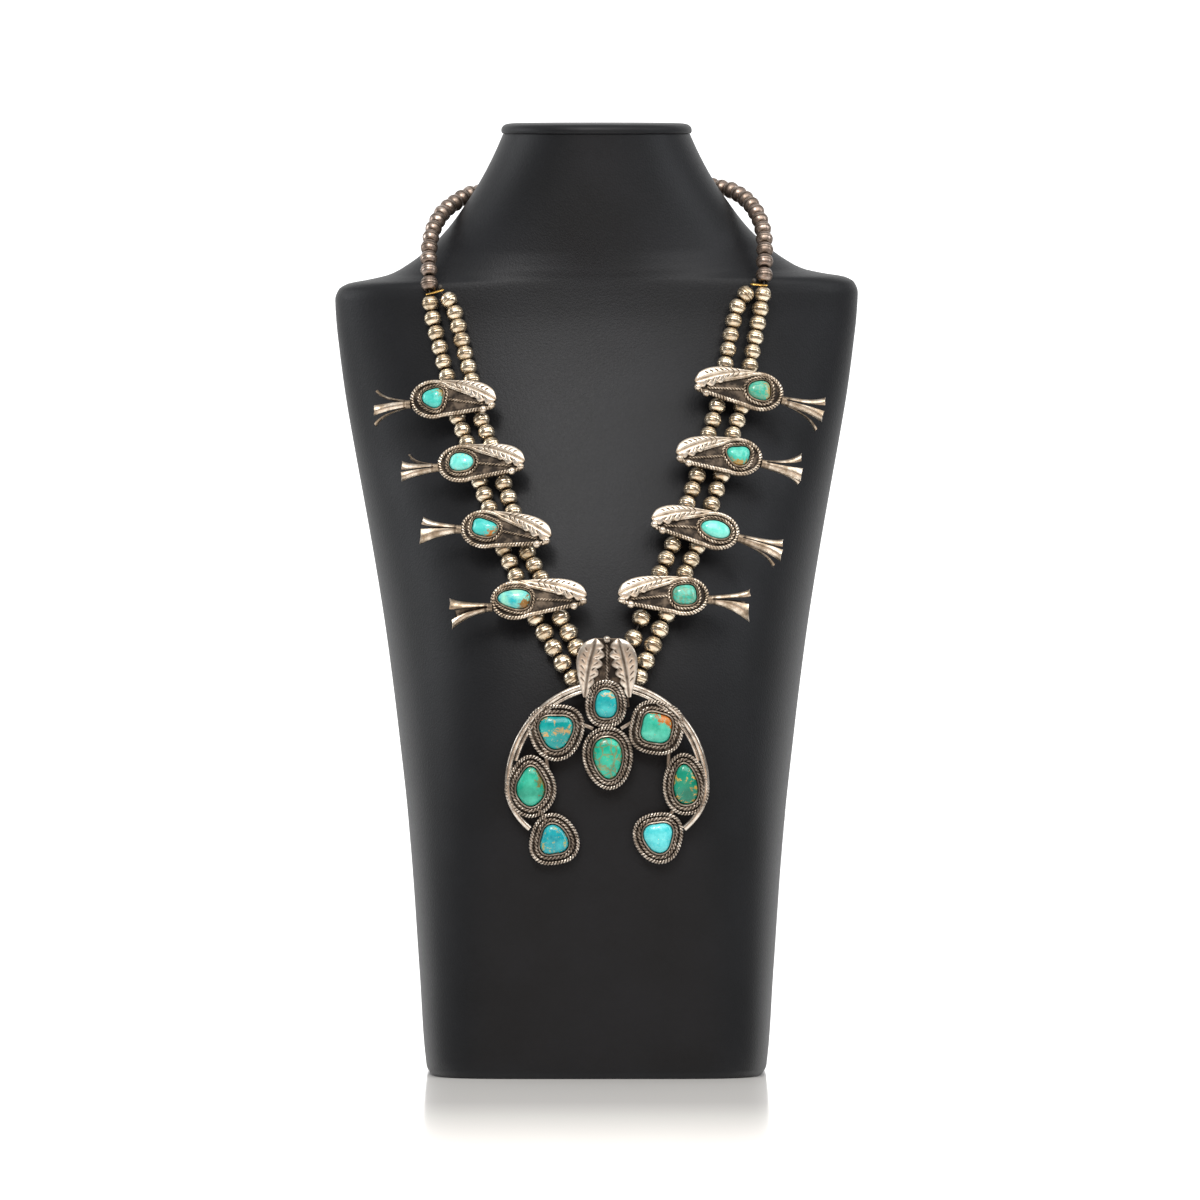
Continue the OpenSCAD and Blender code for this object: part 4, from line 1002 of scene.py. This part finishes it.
# Naja
# The crescent pendant: a heavy wire bent to a horseshoe with a thinner one inside it, eight settings
# soldered along them and in the middle, two stamped leaves, a ball, and two tubes behind for the strands.
# middle to the right, middle up, the stone's columns as above, width of the setting outside the stone
NAJA_STONES = [
    (-0.4, 21.2, 4.5, 5.9, 0, 0.03, 90, 0.03, 45, 4), (0.3, 0, 5.8, 8.4, 6, 0.05, 270, 0, 0, 4.4),
    (-20.3, 10.4, 6.7, 6.8, 0, 0.1, 150, 0.02, 45, 4.8), (-30.4, -12, 5.5, 7.7, 0, 0.05, 90, 0.04, 0, 4.7),
    (-21.2, -33.1, 5.6, 6, 0, 0.1, 100, 0.02, 45, 4.6), (19.7, 11.7, 6.4, 6.3, -12, 0.02, 0, 0.07, 45, 5),
    (31.3, -11.2, 4.8, 8.1, 6, 0.06, 330, 0, 0, 4.5), (20.5, -31.8, 5.8, 6.1, 0, 0.09, 40, 0.02, 45, 4.4)]
# the horseshoe: half width, height above and below its middle, the middle's height, and both wires' diameters
ARC_RX = 39.6
ARC_RY = 41.0
ARC_RY_LOW = 27.0
ARC_MID = -11.5
ARC_WIRE = 2.4
INNER_WIRE = 1.6
NAJA_WALL = 0.8
NAJA_ROPE_R = 0.75
NAJA_TUBE_R = 1.7
NAJA_RIB = (80, PLATE_T + 0.4, 0.65, 2.8)
NAJA_LEAF = (0.8, 5.4, 5.4, 2.5, 1.5, 6, 6)
# short bars that join neighbouring settings: from, to
NAJA_BARS = [((-24.6, 2.4), (-23.4, -6)), ((24.6, 3), (24.4, -6)), ((-27, -21), (-24, -26)),
             ((27, -20), (24, -25)), ((-5.6, 11.4), (-11, 13.6)), ((5.6, 11.4), (11, 14.6))]
RIGHT = np.array([1.0, 0, 0])
UP = np.array([0, 0, 1.0])
FORWARD = np.array([0, -1.0, 0])


def naja_put(x=0.0, y=0.0):
    """Puts points drawn round a middle on the pendant."""
    return placer(NAJA_SPOT + y * UP, RIGHT, UP, FORWARD, x)


def arc_wire(piece, side, grow, first, last, wire, z):
    """A heavy wire along half of the horseshoe, round on top and filed flat behind."""
    a = np.radians(np.linspace(first, last, 90))
    tall = np.where(a < np.pi / 2, ARC_RY, ARC_RY_LOW)
    line = columns(side * (ARC_RX + grow) * np.sin(a), ARC_MID + (tall + grow) * np.cos(a))
    way = unit(np.gradient(line, axis=0))
    out = columns(way[:, 1], -way[:, 0])
    theta = np.radians(np.linspace(0, 360, 16, endpoint=False))[None, :]
    flat = line[:, None] + out[:, None] * (wire / 2 * np.cos(theta))[..., None]
    high = z + wire / 2 * np.clip(np.sin(theta), -0.7, 1) + 0 * flat[..., 0]
    # Painted shade: the wire darkens round its sides to its back, which faces the bust.
    piece.add(naja_put()(raised(flat, high)), np.clip(0.2 + 0.5 * (0.3 - np.sin(theta)), 0, 1), WIRE)


piece = Piece()
put = naja_put()
STAMPED_ALL = np.array([1, 0.85, 1, 1, 0.7, 1, 1, 0.9])
for x, y, *stone, outside in NAJA_STONES:
    here = naja_put(x, y)
    row = tuple(stone)
    setting(here, piece, row, lambda inset: evenly(stone_outline(row, outside - inset), 160), STAMPED_ALL,
            NAJA_WALL, min(NAJA_ROPE_R, (outside - BORDER_D - 0.9) / 2))
for side in (-1, 1):
    arc_wire(piece, side, 0, 12, 129, ARC_WIRE, ARC_WIRE / 2 - 0.45)
    arc_wire(piece, side, -2.0, 12, 75, INNER_WIRE, ARC_WIRE / 2 - 0.5)
for a, b in NAJA_BARS:
    bar(put, piece, a, b, 1.5, 0.1, 1.7)
back = np.array([(-9, 20), (9, 20), (7.2, 36), (5, 47.4), (-5, 47.4), (-7.2, 36)], float)
plate(put, piece, evenly(back, 120))
midrib(put, piece, (0, 28.5), (0, 45), *NAJA_RIB)
ball(put, piece, 0, 47, PLATE_T + 0.6)
for s in (1, -1):
    def mirrored(points):
        """Puts points on the pendant, turned over left to right for the second leaf."""
        return put(points * np.array([s, 1.0, 1.0]))
    leaf(mirrored, piece, (-8.8, 23.9), (-4.3, 47.4), *NAJA_LEAF)
for height_up, half_l in (OUTER_TUBE, INNER_TUBE):
    tube(put, piece, (0, height_up, -TUBE_BACK), (1, 0, 0), 2 * half_l, NAJA_TUBE_R, BORE_R)
    bar(put, piece, (-4, height_up), (4, height_up), *SADDLE)
# The pendant is duller than the blossoms: greyer wires, and leaves less rubbed
naja_wire = silver("naja_wire", "#cfc8be", "#857a6f", 0.45, 0.22, 0.12)
naja_leaf = silver("naja_leaf", "#d6cec3", "#9c9084", 0.4, 0.28)
piece.build("naja", "_silver", [plate_silver, naja_wire, naja_leaf])

NAJA_LOOKS = [
    ("#0f8a90", "#35b0b2", ("#a58352", "#c9a86e"), 0.07, 150.0, 0.12, (0.6, 0.8), 0.0),
    ("#0a8a72", "#30b296", ("#5f4f24", "#94783c"), 0.07, 170.0, 0.0, (0.0, -1.0), 0.7),
    ("#0a8384", "#2aa9a4", ("#a8844e", "#cdac74"), 0.13, 110.0, 0.06, (0.9, -0.3), 0.0),
    ("#12876f", "#42b49a", ("#5a5226", "#857a3c"), 0.02, 170.0, 0.34, (1.0, 0.3), 0.0),
    ("#0c7f8c", "#2fa6b0", ("#8f8a3a", "#b3a655"), 0.09, 190.0, 0.08, (-0.3, -0.9), 0.0),
    ("#259d86", "#55bfa8", ("#8f4a1a", "#b96f2c"), 0.02, 200.0, 0.34, (0.7, 0.7), 0.0),
    ("#0a6752", "#1f8a72", ("#a87a2c", "#cba24c"), 0.12, 110.0, 0.08, (-0.5, 0.3), 0.0),
    ("#3ab7c0", "#64cfd4", ("#d8cba0", "#e8dfc0"), 0.03, 320.0, 0.0, (0.0, 1.0), 0.0)]
for i, (x, y, *stone, outside) in enumerate(NAJA_STONES):
    look = turquoise("turquoise_naja_" + str(i + 1), *NAJA_LOOKS[i])
    cabochon(naja_put(x, y), "naja_stone_" + str(i + 1), tuple(stone), look)


# Floor
# A sheet of pale glossy board under the bust, a soft mirror close to it that grows duller towards the
# camera. It isn't part of the object.
floor_white, tree, shader, place = new_material("pale_board")
shader.inputs["Base Color"].default_value = linear("#fbfbfa")
far = node(tree, "SeparateXYZ", [(place, "Vector")])
rough = node(tree, "MapRange", [(far.outputs["Y"], "Value")], From_Min=-0.3, From_Max=-1.2,
             To_Min=0.1, To_Max=0.5)
feed(tree, shader, [(rough, "Roughness")])
mesh = bpy.data.meshes.new("floor")
mesh.from_pydata([(-3, -2.5, 0), (3, -2.5, 0), (3, 3, 0), (-3, 3, 0)], [], [(0, 1, 2, 3)])
mesh.materials.append(floor_white)
floor = bpy.data.objects.new("floor", mesh)
bpy.context.scene.collection.objects.link(floor)


# Light
# A wide softbox above the front with a small bright lamp beside it for the sparks on beads and stones, a
# softbox high on each side, and a warm low one that shows gold in the undersides of the silver. The room is
# white behind the bust and dim behind the camera.
def soft_light(name, place, aim, wide, high, glow, colour):
    """A rectangular softbox that faces a point. Its power follows from its size and its brightness."""
    lamp = bpy.data.lights.new(name, "AREA")
    lamp.shape = "RECTANGLE"
    lamp.size = wide
    lamp.size_y = high
    lamp.energy = glow * math.pi * wide * high
    lamp.color = linear(colour)[:3]
    thing = bpy.data.objects.new(name, lamp)
    bpy.context.scene.collection.objects.link(thing)
    thing.visible_camera = False
    way = unit(np.array(place, float) - np.array(aim, float))
    side = unit(np.cross([0, 0, 1.0], way))
    up = np.cross(way, side)
    thing.matrix_world = [[*side, 0], [*up, 0], [*way, 0], [*place, 1]]


soft_light("key_above", (0.15, -0.85, 1.15), (0, -0.05, 0.2), 1.5, 0.9, 3.6, "#fffaf4")
soft_light("key_lamp", (-0.25, -0.9, 1.2), (0, -0.05, 0.22), 0.28, 0.28, 24.0, "#fffaf4")
soft_light("side_left", (-1.0, 0.15, 0.55), (-0.1, 0, 0.25), 0.5, 0.5, 4.5, "#ffffff")
soft_light("side_right", (0.95, -0.2, 0.75), (0.05, 0, 0.28), 0.4, 0.6, 4.4, "#ffffff")
soft_light("warm_below", (0, -1.0, 0.14), (0, -0.05, 0.22), 1.3, 0.2, 0.75, "#ffb45c")
world = bpy.data.worlds.new("white_room")
world.use_nodes = True
tree = world.node_tree
parts = node(tree, "SeparateXYZ", [(node(tree, "TexCoord").outputs["Generated"], "Vector")])
behind = node(tree, "MapRange", [(parts.outputs["Y"], "Value")], interpolation_type="SMOOTHSTEP",
              From_Min=0.25, From_Max=0.95, To_Min=0.1, To_Max=1.5)
above = node(tree, "MapRange", [(parts.outputs["Z"], "Value")], interpolation_type="SMOOTHSTEP",
             From_Min=0.25, From_Max=1.0, To_Min=0.0, To_Max=0.9)
glow = node(tree, "Math", [(behind, 0), (above, 1)], operation="MAXIMUM")
feed(tree, tree.nodes["Background"], [(glow, "Strength")])
tree.nodes["Background"].inputs["Color"].default_value = linear("#ffffff")
bpy.context.scene.world = world
bpy.context.scene.view_settings.view_transform = "Standard"


# Camera
# A long lens from straight in front, a degree and a half above level, as the photo's edges show.
AIM = np.array([1.4, -70.0, 190.3]) * MM
DISTANCE = 10
LIFT = math.radians(1.5)
camera = bpy.data.cameras.new("camera")
camera.lens = 750
camera.sensor_width = 36
camera.clip_end = 60
camera_object = bpy.data.objects.new("camera", camera)
bpy.context.scene.collection.objects.link(camera_object)
camera_object.location = AIM + DISTANCE * np.array([0, -math.cos(LIFT), math.sin(LIFT)])
camera_object.rotation_euler = (math.pi / 2 - LIFT, 0, 0)
bpy.context.scene.camera = camera_object
